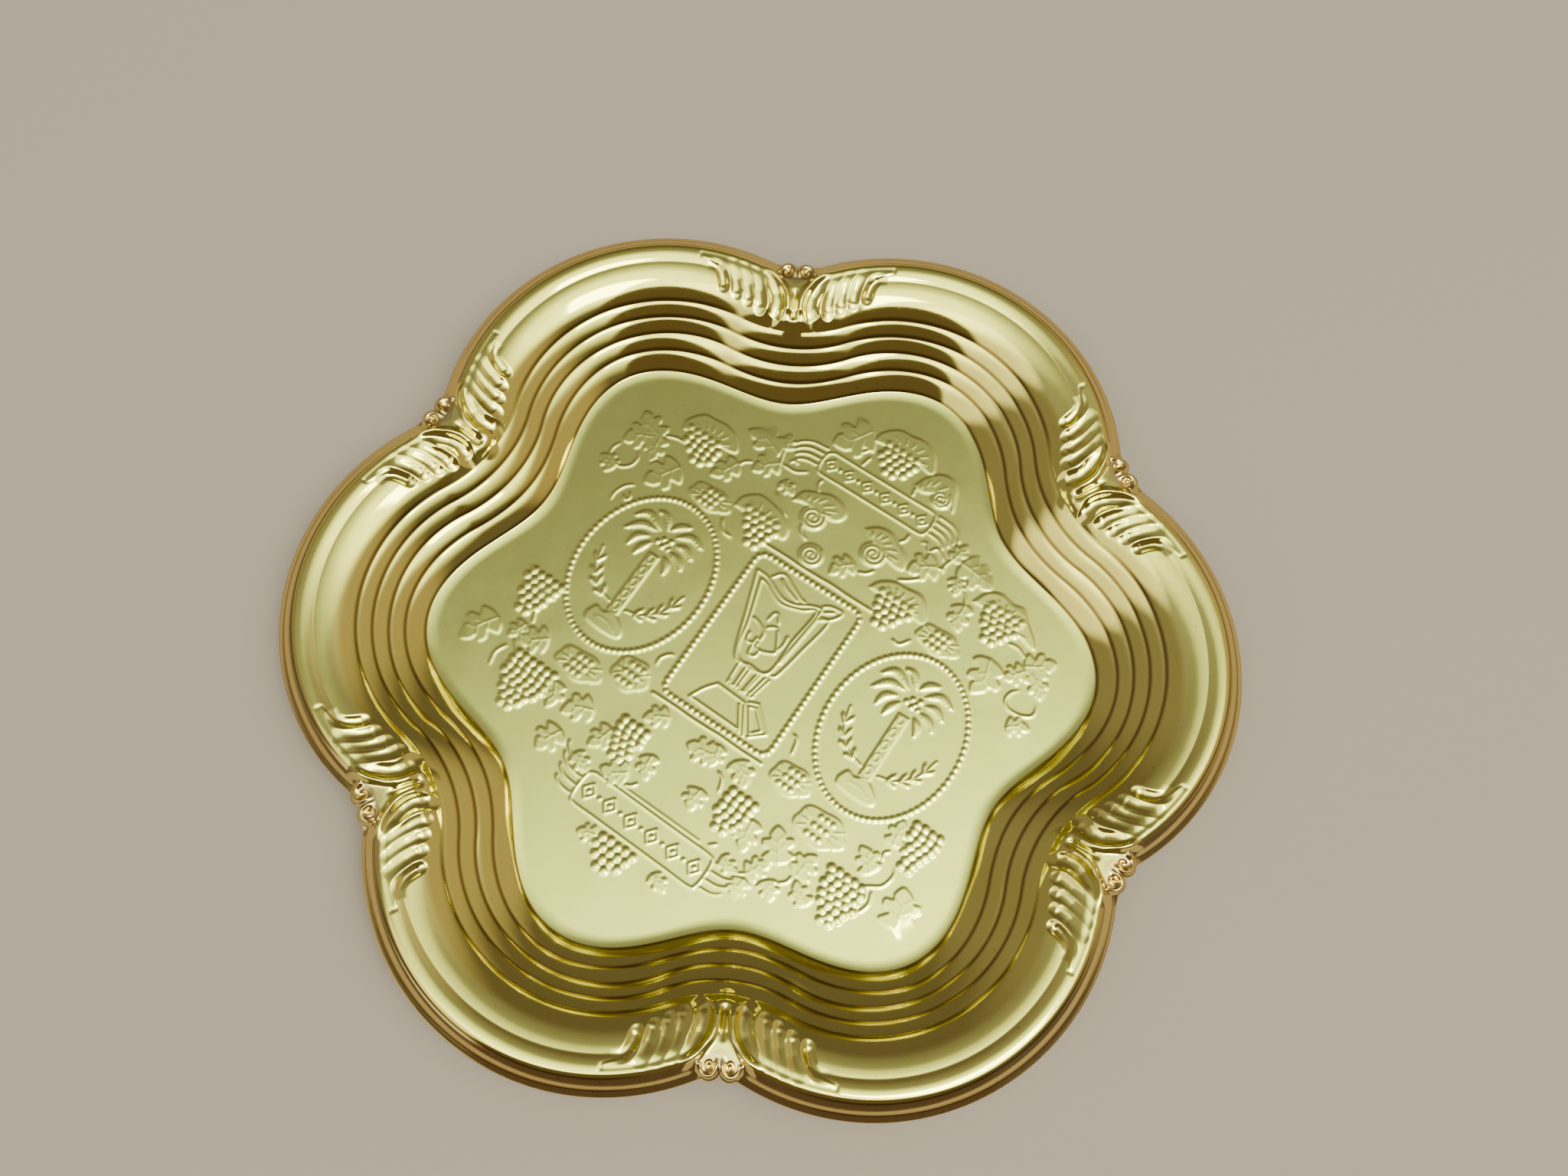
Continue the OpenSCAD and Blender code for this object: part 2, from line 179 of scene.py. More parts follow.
def level_r(tip, a):
    """Radius in mm at angle a in degrees of the level whose lobe tips are at radius tip."""
    t = from_cusp(a)
    wave = tip - FLOOR_DEPTH * (1 + np.cos(np.radians(LOBES * t))) / 2
    share = np.clip((tip - CREASES[0]) / (CREASES[2] - CREASES[0]), 0, 1)
    edge = np.clip((tip - BEAD_IN) / (TIP_R - BEAD_IN), 0, 1)
    arcs = arcs_r(np.maximum(tip, CREASES[0]), t)
    return (1 - share) * wave + share * arcs + edge * curl_out(t)


def tip_of(r, a):
    """The inverse of level_r, by bisection."""
    lo, hi = np.full(np.shape(r), LEVEL_LO), np.full(np.shape(r), LEVEL_HI)
    for _ in range(HALVINGS):
        mid = (lo + hi) / 2
        below = level_r(mid, a) < r
        lo, hi = np.where(below, mid, lo), np.where(below, hi, mid)
    return (lo + hi) / 2


def slope_to_gradient(tip, a, slope):
    """Gradient over (x, y) of a height that depends only on the level."""
    d = 0.02
    r = level_r(tip, a)
    r_tip = (level_r(tip + d, a) - level_r(tip - d, a)) / (2 * d)
    r_a = (level_r(tip, a + d) - level_r(tip, a - d)) / math.radians(2 * d)
    t = np.radians(a)
    along, across = slope / r_tip, -slope * r_a / (r * r_tip)
    return along * np.cos(t) - across * np.sin(t), along * np.sin(t) + across * np.cos(t)


# ---- relief drawn on a fine grid of heights ----

# A raised shape's edge starts this far outside its outline, and the ridge along it runs this far inside.
EDGE_OUT, RIM_IN = 0.12, 0.15


def curve(points, n=8):
    """A smooth line through the points."""
    p = np.array(points, float)
    if len(p) < 3:
        return p
    q = np.vstack([2 * p[0] - p[1], p, 2 * p[-1] - p[-2]])
    out = []
    for i in range(1, len(q) - 2):
        for s in np.arange(n) / n:
            out.append(0.5 * (2 * q[i] + (q[i + 1] - q[i - 1]) * s
                              + (2 * q[i - 1] - 5 * q[i] + 4 * q[i + 1] - q[i + 2]) * s**2
                              + (3 * q[i] - q[i - 1] - 3 * q[i + 1] + q[i + 2]) * s**3))
    return np.vstack([out, p[-1]])


def to_line(x, y, points):
    """Distance to a line of points, and how far along the line the nearest point is, 0 to 1."""
    best, along = np.full(x.shape, 1e9), np.zeros(x.shape)
    steps = np.linalg.norm(np.diff(points, axis=0), axis=1)
    total, done = max(steps.sum(), 1e-9), 0.0
    for a, b, length in zip(points[:-1], points[1:], steps):
        d = b - a
        s = np.clip(((x - a[0]) * d[0] + (y - a[1]) * d[1]) / max(length**2, 1e-12), 0, 1)
        dist = np.hypot(x - a[0] - s * d[0], y - a[1] - s * d[1])
        near = dist < best
        best = np.where(near, dist, best)
        along = np.where(near, (done + s * length) / total, along)
        done += length
    return best, along


def inside(x, y, points):
    """True where (x, y) is inside the closed line of points."""
    odd = np.zeros(x.shape, bool)
    for a, b in zip(points, np.roll(points, -1, axis=0)):
        if a[1] == b[1]:
            continue
        crosses = ((a[1] > y) != (b[1] > y)) & (x < (b[0] - a[0]) * (y - a[1]) / (b[1] - a[1]) + a[0])
        odd ^= crosses
    return odd


class Relief:
    """A grid of heights over x from x0 to x1 and y from y0 to y1."""

    def __init__(self, x0, x1, y0, y1, pitch):
        self.x0, self.y0, self.pitch = x0, y0, pitch
        across, up = (np.arange(lo, hi + pitch / 2, pitch) for lo, hi in ((x0, x1), (y0, y1)))
        self.x, self.y = np.meshgrid(across, up)
        self.h = np.zeros(self.x.shape)

    def window(self, lo, hi, pad):
        i0, j0 = (int(max((lo[k] - pad - o) / self.pitch, 0)) for k, o in ((1, self.y0), (0, self.x0)))
        i1, j1 = (int(max((hi[k] + pad - o) / self.pitch, 0)) + 2 for k, o in ((1, self.y0), (0, self.x0)))
        return slice(i0, i1), slice(j0, j1)

    def line(self, points, w, h, fade=(0, 0), add=False):
        """A rounded ridge of half-width w along a smooth line, faded over shares of its length."""
        self.ridge(curve(points), w, h, fade, add)

    def ridge(self, pts, w, h, fade=(0, 0), add=False):
        win = self.window(pts.min(0), pts.max(0), w)
        x, y = self.x[win], self.y[win]
        if x.size == 0:
            return
        d, s = to_line(x, y, pts)
        top = h * np.cos(np.clip(d / w, 0, 1) * math.pi / 2) ** 2
        if fade[0]:
            top = top * np.clip(s / fade[0], 0, 1)
        if fade[1]:
            top = top * np.clip((1 - s) / fade[1], 0, 1)
        self.h[win] = self.h[win] + top if add else np.maximum(self.h[win], top)

    def dome(self, x, y, r, h):
        win = self.window((x, y), (x, y), r)
        d2 = ((self.x[win] - x) ** 2 + (self.y[win] - y) ** 2) / (r * r)
        self.h[win] = np.maximum(self.h[win], h * np.sqrt(np.clip(1 - d2, 0, 1)))

    def bump(self, x, y, rx, ry, h, power=1.0):
        """An oval swelling whose flanks run out smoothly, added to what is there."""
        win = self.window((x, y), (x, y), max(rx, ry))
        u, v = (self.x[win] - x) / rx, (self.y[win] - y) / ry
        self.h[win] += h * np.clip(1 - u * u - v * v, 0, 1) ** power

    def plateau(self, pts, h, soft, rim, rim_w=0.35):
        """A raised closed shape with a rounded edge, and a ridge along its edge."""
        win = self.window(pts.min(0), pts.max(0), rim_w + 0.2)
        x, y = self.x[win], self.y[win]
        closed = np.vstack([pts, pts[:1]])
        d, _ = to_line(x, y, closed)
        sd = np.where(inside(x, y, pts), d, -d)
        top = h * smoothstep(sd, -EDGE_OUT, soft)
        top = top + rim * np.cos(np.clip(np.abs(sd - RIM_IN) / rim_w, 0, 1) * math.pi / 2) ** 2
        self.h[win] = np.maximum(self.h[win], top)

    def blurred(self, values, sigma):
        """Values smoothed by a Gaussian of that size, mirrored at the grid's edges."""
        pad = int(4 * sigma / self.pitch) + 1
        wide = np.pad(values, pad, mode="reflect")
        ny, nx = wide.shape
        fy = np.fft.fftfreq(ny, self.pitch)[:, None]
        fx = np.fft.rfftfreq(nx, self.pitch)[None, :]
        keep = np.exp(-2 * (math.pi * sigma) ** 2 * (fx**2 + fy**2))
        return np.fft.irfft2(np.fft.rfft2(wide) * keep, s=wide.shape)[pad:-pad, pad:-pad]

    def sample(self, values, x, y):
        """Values read off the grid between its points."""
        ny, nx = self.h.shape
        u = np.clip((x - self.x0) / self.pitch, 0, nx - 1.001)
        v = np.clip((y - self.y0) / self.pitch, 0, ny - 1.001)
        j, i = u.astype(int), v.astype(int)
        fu, fv = u - j, v - i
        low = values[i, j] * (1 - fu) + values[i, j + 1] * fu
        high = values[i + 1, j] * (1 - fu) + values[i + 1, j + 1] * fu
        return low * (1 - fv) + high * fv


def turned(points, x, y, angle, size=1.0):
    """Points in a motif's own frame, turned, scaled and moved to (x, y)."""
    p = np.array(points, float) * size
    c, s = math.cos(math.radians(angle)), math.sin(math.radians(angle))
    return np.column_stack([p[:, 0] * c - p[:, 1] * s + x, p[:, 0] * s + p[:, 1] * c + y])


# ---- cusp ornament, drawn once with p outwards along the cusp and q across it ----

FLUTES = [
    [(8.0, 80.4), (8.2, 83), (8.9, 86), (10.4, 90.3)],
    [(10.8, 82.0), (11.1, 84.5), (11.8, 87.3), (13.3, 91.2)],
    [(13.7, 83.5), (14.0, 85.8), (14.8, 88.4), (16.2, 91.9)],
]
POCKET = [(4.9, 78.6), (4.3, 79.9), (4.0, 81.8), (4.5, 84), (5.7, 86.3), (7.4, 89.2)]
FINGER_VALLEY = [(17.0, 84.9), (17.3, 86.6), (18.0, 88.6), (19.3, 90.0), (21.6, 90.3)]
SCROLL = [(8.3, 90.9), (6.8, 90.0), (5.1, 88.4), (3.5, 86.4), (2.2, 84.4), (1.55, 82), (1.55, 80),
          (1.9, 78.4), (2.5, 77.2)]
CURL_LINE = [(4.3, 90.0), (4.0, 91.0), (3.1, 91.9), (2.0, 92.1), (1.0, 91.5), (0.6, 90.2), (0.5, 88.4)]
# Each groove's route, half-width, depth, length of its blunt inner end, and share that runs out.
FAN_GROOVES = [(route, 1.62, 0.85, 1.2, 0.62) for route in FLUTES] + [
    (POCKET, 1.9, 1.1, 1.6, 0.5), (FINGER_VALLEY, 1.5, 0.9, 1.2, 0.75),
]
# How far across the cusp the fan reaches, against the way out.
FAN_END_P = [80, 84.9, 86.6, 88.6, 90.0, 91.5]
FAN_END_Q = [16.6, 17.0, 17.3, 18.0, 19.3, 23.5]
# Height along the cusp's own axis, where the two lobes' rims meet.
AXIS_P = [70.0, 76.3, 77.7, 80.2, 83.0, 85.5, 88.0, 90.5, 92.0, 96.0]
AXIS_Z = [0.0, 11.0, 12.5, 14.1, 14.9, 15.2, 15.2, 14.7, 14.2, 13.2]


def channel(orn, points, w, depth, inner, outer):
    """A rounded groove with a blunt inner end, shallower towards its outer end."""
    pts = curve(points)
    x, y = orn.x, orn.y
    d, s = to_line(x, y, pts)
    length = np.linalg.norm(np.diff(pts, axis=0), axis=1).sum()
    start = np.clip(s * length / inner + 0.35, 0, 1)
    deep = depth * np.sqrt(start) * np.clip((1 - s) / outer, 0, 1)
    deep = deep * (1 + 0.12 * np.exp(-((s * length / 1.3) ** 2)))
    return -deep * np.clip(1 - (d / w) ** 2, 0, 1)


def cusp_relief():
    """One side of a cusp's ornament: upper face, how far the lower face follows it, and gradients."""
    orn = Relief(0.0, 28.4, 70.0, 101.0, 0.05)
    q, p = orn.x, orn.y
    a = np.degrees(np.arctan2(q, p))
    tip = tip_of(np.hypot(p, q), a)
    plain = section(tip, SECTION)
    # Inside the fan the crease between the two rolls is gone.
    past_end = q - np.interp(p, FAN_END_P, FAN_END_Q)
    in_fan = band(tip, (92.5, 94.5), (99.5, 100.8)) * (1 - smoothstep(past_end, -0.4, 0.4))
    z = plain + in_fan * (section(tip, FAN_SECTION) - plain)
    # Along the axis the two rims give way to one smooth surface.
    near = (1 - smoothstep(q, 2.2, 6.0)) * smoothstep(p, 76.6, 79.5)
    z = z + near * (np.interp(p, AXIS_P, AXIS_Z) - z)
    lift = band(tip, (91.0, 94.0), (98.0, 101.0)) * smoothstep(q, 5.5, 7.5)
    orn.h = z + 0.35 * lift * (1 - smoothstep(past_end, -1.2, 0.0))
    for groove in FAN_GROOVES:
        orn.h += channel(orn, *groove)
    orn.line(SCROLL, 1.45, 0.8, (0.16, 0.2), add=True)
    # The narrow channel between the two scrolls, the nose where they meet, and the curl with its eye.
    orn.h -= 0.5 * np.exp(-((q / 0.45) ** 2)) * band(p, (77.6, 79.4), (83.6, 86.0))
    orn.bump(0.0, 76.9, 2.8, 2.0, 0.5, 1.3)
    orn.line(CURL_LINE, 0.85, 0.7, (0, 0.2), add=True)
    orn.bump(2.1, 90.2, 0.95, 1.2, -0.75)
    # Far from the ornament the heights are the plain section's own.
    drawn = (1 - smoothstep(a, 13.6, 15.2)) * smoothstep(tip, 85.0, 86.2)
    orn.h = plain + drawn * (orn.blurred(orn.h, 0.15) - plain)
    orn.low = 0.8 * orn.blurred(orn.h - plain, 0.5)
    orn.slopes, orn.low_slopes = np.gradient(orn.h, orn.pitch), np.gradient(orn.low, orn.pitch)
    return orn


ORN = cusp_relief()


def wall_heights(tip, a):
    """Height over the floor and gradient of the sheet's upper face, then of its lower face."""
    z = section(tip, SECTION)
    gx, gy = slope_to_gradient(tip, a, section(tip, SECTION_SLOPE))
    low = section(tip, UNDER)
    lx, ly = slope_to_gradient(tip, a, section(tip, UNDER_SLOPE))
    cusp = np.round(a / PITCH_DEG) * PITCH_DEG
    off = np.radians(a - cusp)
    r = level_r(tip, a)
    p, q = r * np.cos(off), r * np.sin(off)
    side = np.where(q < 0, -1.0, 1.0)
    share = (1 - smoothstep(np.abs(np.degrees(off)), 14.2, 15.4)) * smoothstep(tip, 85.2, 86.4)
    c, s = np.cos(np.radians(cusp)), np.sin(np.radians(cusp))

    def gradient(slopes):
        gp, gq = ORN.sample(slopes[0], np.abs(q), p), side * ORN.sample(slopes[1], np.abs(q), p)
        return gp * c - gq * s, gp * s + gq * c

    oz, uz = ORN.sample(ORN.h, np.abs(q), p), ORN.sample(ORN.low, np.abs(q), p)
    (ox, oy), (ux, uy) = gradient(ORN.slopes), gradient(ORN.low_slopes)
    z, gx, gy = z + share * (oz - z), gx + share * (ox - gx), gy + share * (oy - gy)
    return (z, gx, gy), (low + share * uz, lx + share * ux, ly + share * uy)


# ---- meshes ----


def normal_of(gx, gy, up):
    """Unit normals of a height field, upwards for up = 1 and downwards for up = -1."""
    n = np.stack([-gx, -gy, np.ones_like(gx)], -1)
    return up * n / np.linalg.norm(n, axis=-1, keepdims=True)


def make_piece(name, verts, normals, faces, slot, *nodes, shade=None):
    mesh = bpy.data.meshes.new(name)
    mesh.from_pydata((np.asarray(verts) * MM).tolist(), [], faces)
    # The crease attribute carries the painted shade of the grooves.
    if shade is not None:
        mesh.attributes.new("crease", "FLOAT", "POINT").data.foreach_set("value", shade.astype(np.float32))
    mesh.polygons.foreach_set("use_smooth", np.ones(len(mesh.polygons), bool))
    mesh.materials.append(GILT[slot])
    mesh.update()
    mesh.normals_split_custom_set_from_vertices(np.asarray(normals).tolist())
    obj = bpy.data.objects.new(name, mesh)
    bpy.context.scene.collection.objects.link(obj)
    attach(obj, "root")
    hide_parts(*nodes)


def grid_faces(n, m, wrap, up):
    """Quads of an n by m grid of vertices, rows round the plate and columns outwards."""
    i, j = np.meshgrid(np.arange(n if wrap else n - 1), np.arange(m - 1), indexing="ij")
    i2 = (i + 1) % n
    quads = np.stack([i * m + j, i * m + j + 1, i2 * m + j + 1, i2 * m + j], -1).reshape(-1, 4)
    return quads if up else quads[:, ::-1]


def shell(name, angles, tips, wrap, slot, *nodes, rounded=False):
    """A closed stretch of sheet over a grid of angles and levels."""
    a, tip = np.meshgrid(np.asarray(angles), np.asarray(tips), indexing="ij")
    r = level_r(tip, a)
    x, y = r * np.cos(np.radians(a)), r * np.sin(np.radians(a))
    (z, gx, gy), (low, lx, ly) = wall_heights(tip, a)
    top = np.stack([x, y, z + SHEET], -1)
    under = np.stack([x, y, low + SHEET], -1)
    n_top, n_under = normal_of(gx, gy, 1), normal_of(lx, ly, -1)
    if rounded:
        top, n_top, under, n_under = round_edge(top, n_top, under, n_under, a)
    n, m = top.shape[:2]
    verts = np.concatenate([top.reshape(-1, 3), under.reshape(-1, 3)])
    norms = np.concatenate([n_top.reshape(-1, 3), n_under.reshape(-1, 3)])
    base = n * m

    def wall(start, end):
        return np.stack([start, end, end + base, start + base], -1)

    rows = np.arange(n if wrap else n - 1)
    near, after = rows * m, (rows + 1) % n * m
    walls = [wall(near, after), wall(after + m - 1, near + m - 1)]
    if not wrap:
        cols = np.arange(m - 1)
        last = (n - 1) * m + cols
        walls += [wall(cols + 1, cols), wall(last, last + 1)]
    faces = np.concatenate([grid_faces(n, m, wrap, True), grid_faces(n, m, wrap, False) + base, *walls])
    shade = crease_shade(tip, a)
    if rounded:
        shade = np.concatenate([shade, np.repeat(shade[:, -1:], m - shade.shape[1], axis=1)], 1)
    shade = np.tile(shade.ravel(), 2)
    make_piece(name, verts, norms, faces.tolist(), slot, *nodes, shade=shade)


def crease_shade(tip, a):
    """1 in the grooves between ribs, rolls and bead, where brown is painted in as the shade deep in each
    crease.
    """
    near = np.zeros_like(tip)
    for at, width in GROOVE_SHADE_LINES:
        near = np.maximum(near, np.exp(-0.5 * ((tip - at) / width) ** 2))
    return near * np.where(tip > CREASES[4] - 0.5, smoothstep(from_cusp(a), 5, 14), 1.0)


# Directions of the rounded edge's rows, in degrees from the vertical, and its bulge over its half height.
EDGE_ROWS = [25, 50, 72, 88]
EDGE_BULGE = 0.7


def round_edge(top, n_top, under, n_under, a):
    """Adds the trimmed edge's small radius to the lip's outer end, half to each face."""
    t = np.radians(a[:, -1])
    out = np.stack([np.cos(t), np.sin(t), np.zeros_like(t)], -1)
    up = np.array([0, 0, 1.0])
    half = (top[:, -1, 2] - under[:, -1, 2])[:, None] / 2
    middle = (top[:, -1] + under[:, -1]) / 2

    def grow(points, normals, way):
        ways = [(math.sin(s) * out, math.cos(s) * way) for s in np.radians(EDGE_ROWS)]
        rows = np.stack([middle + half * (EDGE_BULGE * o + u) for o, u in ways], 1)
        turned_out = np.stack([o + u for o, u in ways], 1)
        return np.concatenate([points, rows], 1), np.concatenate([normals, turned_out], 1)

    return *grow(top, n_top, up), *grow(under, n_under, -up)


def spaced(lo, hi, n, crowd=0.75):
    """n + 1 values from lo to hi, closer together at both ends."""
    s = np.linspace(0, 1, n + 1)
    return lo + (hi - lo) * ((1 - crowd) * s + crowd * (1 - np.cos(math.pi * s)) / 2)


# Steps of angle from a cusp to the end of its ornament, and the angles along a lobe's rolls.
LEAF_STEPS = 100
FINE = LEAF_DEG / LEAF_STEPS
LOBE_ANGLES = np.linspace(LEAF_DEG, PITCH_DEG - LEAF_DEG, 49)


def ring_angles(fine_steps):
    """Angles all round, fine for that many steps on each side of a cusp."""
    near = np.arange(fine_steps) * FINE
    mid = np.arange(fine_steps, LEAF_STEPS, 4) * FINE
    half = np.concatenate([near, mid])
    one = np.concatenate([half, LOBE_ANGLES, PITCH_DEG - half[:0:-1]])
    return np.concatenate([one + k * PITCH_DEG for k in range(LOBES)])


# ---- materials ----


def rgba(colour, level=1.0):
    return (*(level * c for c in colour), 1)


class Graph:
    """Adds nodes to one tree. An input is given a value, or another node's output to link to."""

    def __init__(self, owner):
        owner.use_nodes = True
        self.tree = owner.node_tree
        self.tree.nodes.clear()

    def node(self, kind, inputs=None, **settings):
        n = self.tree.nodes.new("ShaderNode" + kind)
        for key, value in settings.items():
            setattr(n, key, value)
        for key, value in (inputs or {}).items():
            if isinstance(value, bpy.types.NodeSocket):
                self.tree.links.new(value, n.inputs[key])
            else:
                n.inputs[key].default_value = value
        return n

    def mapped(self, value, lo, hi, to_lo=0, to_hi=1, kind="LINEAR"):
        ends = {"Value": value, "From Min": lo, "From Max": hi, "To Min": to_lo, "To Max": to_hi}
        return self.node("MapRange", ends, interpolation_type=kind).outputs["Result"]

    def blend(self, share, a, b):
        """Colour a where the share is 0, and b where it is 1."""
        return self.node("Mix", {0: share, 6: a, 7: b}, data_type="RGBA").outputs[2]


# Share of the tint's red, green and blue that is left where the plating is dull, and in a small dull spot.
DULL, SPOT = (0.97, 0.94, 0.86), (0.62, 0.5, 0.36)
# Brown painted into the grooves as their shade.
GROOVE_SHADE_BROWN = (0.20, 0.11, 0.035)
# Two sets of scratches: stretch of the noise along x, y and z, its turn, and where a line starts
# and is full.
SCRATCHES = [((60, 2400, 2400), 24, 0.62, 0.72), ((2600, 70, 2600), -13, 0.64, 0.73)]


def gilt(name, tint, rough, scratches, ripple, tarnish):
    """Bright plated sheet: hazy reflections, fine random scratches, slight ripple, tone change and painted
    shade in the grooves.
    """
    mat = bpy.data.materials.new(name)
    g = Graph(mat)
    place = g.node("TexCoord").outputs["Object"]

    def noise(vector, scale, detail, roughness=0.5):
        inputs = {"Vector": vector, "Scale": scale, "Detail": detail, "Roughness": roughness}
        return g.node("TexNoise", inputs).outputs["Fac"]

    def lines(stretch, turn, lo, hi):
        inputs = {"Vector": place, "Scale": stretch, "Rotation": (0, 0, math.radians(turn))}
        return g.mapped(noise(g.node("Mapping", inputs).outputs["Vector"], 1, 2), lo, hi)

    def added(a, b):
        return g.node("Math", {0: a, 1: b}, operation="ADD").outputs["Value"]

    def toned(shares):
        return rgba([c * k for c, k in zip(tint, shares)])

    tone = g.blend(g.mapped(noise(place, 38, 4, 0.6), 0.3, 0.7), rgba(tint), toned(DULL))
    tone = g.blend(g.mapped(noise(place, 620, 2), 0.7, 0.78, 0, tarnish), tone, toned(SPOT))
    # Painted shade: the colour turns towards brown where the crease attribute marks a groove.
    crease = g.node("Attribute", attribute_name="crease").outputs["Fac"]
    tone = g.blend(g.mapped(crease, 0.1, 1, 0, 0.88), tone, rgba(GROOVE_SHADE_BROWN))

    marks = added(*(lines(*each) for each in SCRATCHES))
    haze = g.mapped(noise(place, 260, 3, 0.6), 0.3, 0.7, rough * 0.85, rough * 1.15)
    haze = added(haze, g.mapped(marks, 0, 2, 0, scratches * 0.12))

    peel = {"Strength": ripple, "Distance": 0.0001, "Height": noise(place, 210, 2, 0.45)}
    waves = g.node("Bump", peel).outputs["Normal"]
    cuts = {"Strength": scratches * 0.06, "Distance": 0.00002, "Height": marks, "Normal": waves}
    normal = g.node("Bump", cuts, invert=True).outputs["Normal"]
    shader = g.node("BsdfPrincipled", {
        "Metallic": 1.0, "Specular IOR Level": 0.5, "Specular Tint": rgba([0.5 + 0.5 * c for c in tint]),
        "Base Color": tone, "Roughness": haze, "Normal": normal,
    })
    g.node("OutputMaterial", {"Surface": shader.outputs["BSDF"]})
    return mat


GOLD = (0.93, 0.84, 0.22)
# Finish of each slot: tint, roughness, and strength of its scratches, ripple and dull spots.
FINISHES = {
    "gilt_floor": ((0.92, 0.91, 0.25), 0.11, 0.6, 0.12, 0.3),
    "gilt_wall": (GOLD, 0.075, 0.6, 0.10, 0.4),
    "gilt_rim": (GOLD, 0.085, 0.8, 0.12, 0.5),
    # The edge's tint is a browner gold than the walls', and darker: the darkness is painted shade for the
    # contact shadow that the lip reflects.
    "gilt_edge": ((0.76, 0.59, 0.23), 0.12, 1.0, 0.14, 0.8),
}
GILT = {slot: gilt(slot + "_sheet", *finish) for slot, finish in FINISHES.items()}


# ---- wall, rim and edge ----


def build_wall_and_rim():
    coarse, fine = ring_angles(0), ring_angles(60)
    for k, (lo, hi) in enumerate(zip(CREASES, CREASES[1:]), 1):
        # The top rib meets the cusps' ornaments, so it has their fine steps there.
        angles = fine if hi == CREASES[-1] else coarse
        shell(f"wall_rib_ring_{k}", angles, spaced(lo, hi, 17), True, "gilt_wall", f"wall_rib_{k}")
    rim_tips = np.concatenate([spaced(CREASES[4], 91.0, 10, 0.5)[:-1], np.arange(91.0, 96.7, 0.23),
                               spaced(96.8, 97.6, 8, 0.0), np.arange(97.85, 101.2, 0.23),
                               spaced(101.3, BEAD_IN, 5, 0.3)])
    cusp_angles = np.arange(-LEAF_STEPS, LEAF_STEPS + 1) * FINE
    for k in range(1, LOBES + 1):
        first = (k - 1) * PITCH_DEG
        shell(f"rim_lobe_rolls_{k}", first + LOBE_ANGLES, rim_tips, False, "gilt_rim", f"rim_lobe_{k}")
        shell(f"cusp_ornament_{k}", first + cusp_angles, rim_tips, False, "gilt_rim", f"cusp_fan_{k}")
    angles = ring_angles(44)
    bead_tips, lip_tips = spaced(BEAD_IN, BEAD_OUT, 13, 0.5), spaced(BEAD_OUT, TIP_R, 6, 0.4)
    shell("edge_bead_ring", angles, bead_tips, True, "gilt_edge", "edge_bead")
    shell("edge_lip_ring", angles, lip_tips, True, "gilt_edge", "edge_lip", rounded=True)


build_wall_and_rim()


# ---- floor: the drawing raised in the sheet ----

# Turn of the panel and the medallions in degrees, and their places and half sizes.
TURN = 1.2
PANEL_AT, PANEL_HALF, PANEL_CORNER = (0.5, 0.0), (14.2, 20.1), 2.5
OVAL_HALF = (15.8, 20.1)
OVALS = {"left": (-33.3, -0.8), "right": (35.2, 0.7)}
# The level where the drawn field ends and the cove below the wall begins.
FIELD_TIP = 71.5
# The grid that the drawing is made on: left, right, bottom and top, and its pitch.
FIELD_BOX, FIELD_PITCH = (-66, 66, -68, 70), 0.1
# How strongly the drawing stands up in the pressed sheet, and how far the sheet softens it.
DRAW_H, CRISP, SOFT, SWELL = 0.52, 0.21, 0.55, 2.2
LINE_W, LINE_H = 0.42, 0.36
# Spacing, radius and height of the grapes, and strokes on the leaf over a bunch.
GRAPE_PITCH, GRAPE_R, GRAPE_H = 1.95, 1.04, 0.62
CAP_STROKES = 7

LEAF = [(0, 0.02), (0.06, 0.26), (0.2, 0.44), (0.3, 0.34), (0.38, 0.26), (0.5, 0.42), (0.66, 0.4),
        (0.68, 0.22), (0.82, 0.2), (1.0, 0.0)]
# Leaves: centre, length, and the way the tip points in degrees.
LEAVES = [
    (-29.5, 42.8, 10, 172), (-25.5, 38, 7, 230), (-25, 46.3, 4.5, 110), (-33.3, 31.8, 7.5, 240),
    (-53.8, 31.3, 8, 155), (-54.5, 26.2, 7.5, 220), (-49.5, 26.5, 7, 285), (-44.3, 22, 9.5, 240),
    (-13, 56.5, 10.5, 235), (-18.3, 36, 4.6, 350), (3.8, 27, 6.5, 235), (19, 38, 7.5, 222),
    (24, 46.3, 5.5, 80), (30.2, 43.6, 9.5, 350), (27.5, 38.6, 4.5, 300), (33, 33, 7, 285),
    (53.6, 34, 7.5, 40), (50, 28.6, 5.5, 235), (55.5, 29, 6.5, 320), (43.8, 24, 9.5, 275),
    (-48.3, -16.6, 5, 60), (-55.3, -32.5, 10, 245), (-48, -28, 5, 250), (-43.7, -27.5, 7, 215),
    (-32.6, -35.5, 6.5, 290), (-25.3, -35.2, 7.5, 215), (-26.5, -44, 7, 250), (-17.5, -44, 5.5, 340),
    (-17.6, -37, 6.5, 250), (-10.5, -41, 6.5, 205), (-4.6, -36.3, 6, 290), (-10, -26.3, 6, 215),
    (2.2, -26.5, 6.5, 190), (5.5, -25.8, 5.5, 280), (12.5, -26, 6.5, 325), (8, -36.2, 5.5, 275),
    (21.8, -36, 7.5, 285), (28.4, -33.8, 8.5, 125), (36, -34, 6.5, 80), (38.4, -39.2, 6, 150),
    (45.6, -25.6, 6.5, 140), (57.4, -30, 9.5, 110), (48.3, -16.6, 6.5, 100), (27.8, -40.5, 6, 60),
    (32, -43.3, 5, 320), (22.2, -43.2, 5, 350), (26.8, -46.5, 5.5, 275), (-7, -55.5, 4.5, 200),
    (12, -55.5, 5, 340), (57.2, 18.3, 5.5, 30), (-57, 17, 5, 160),
]
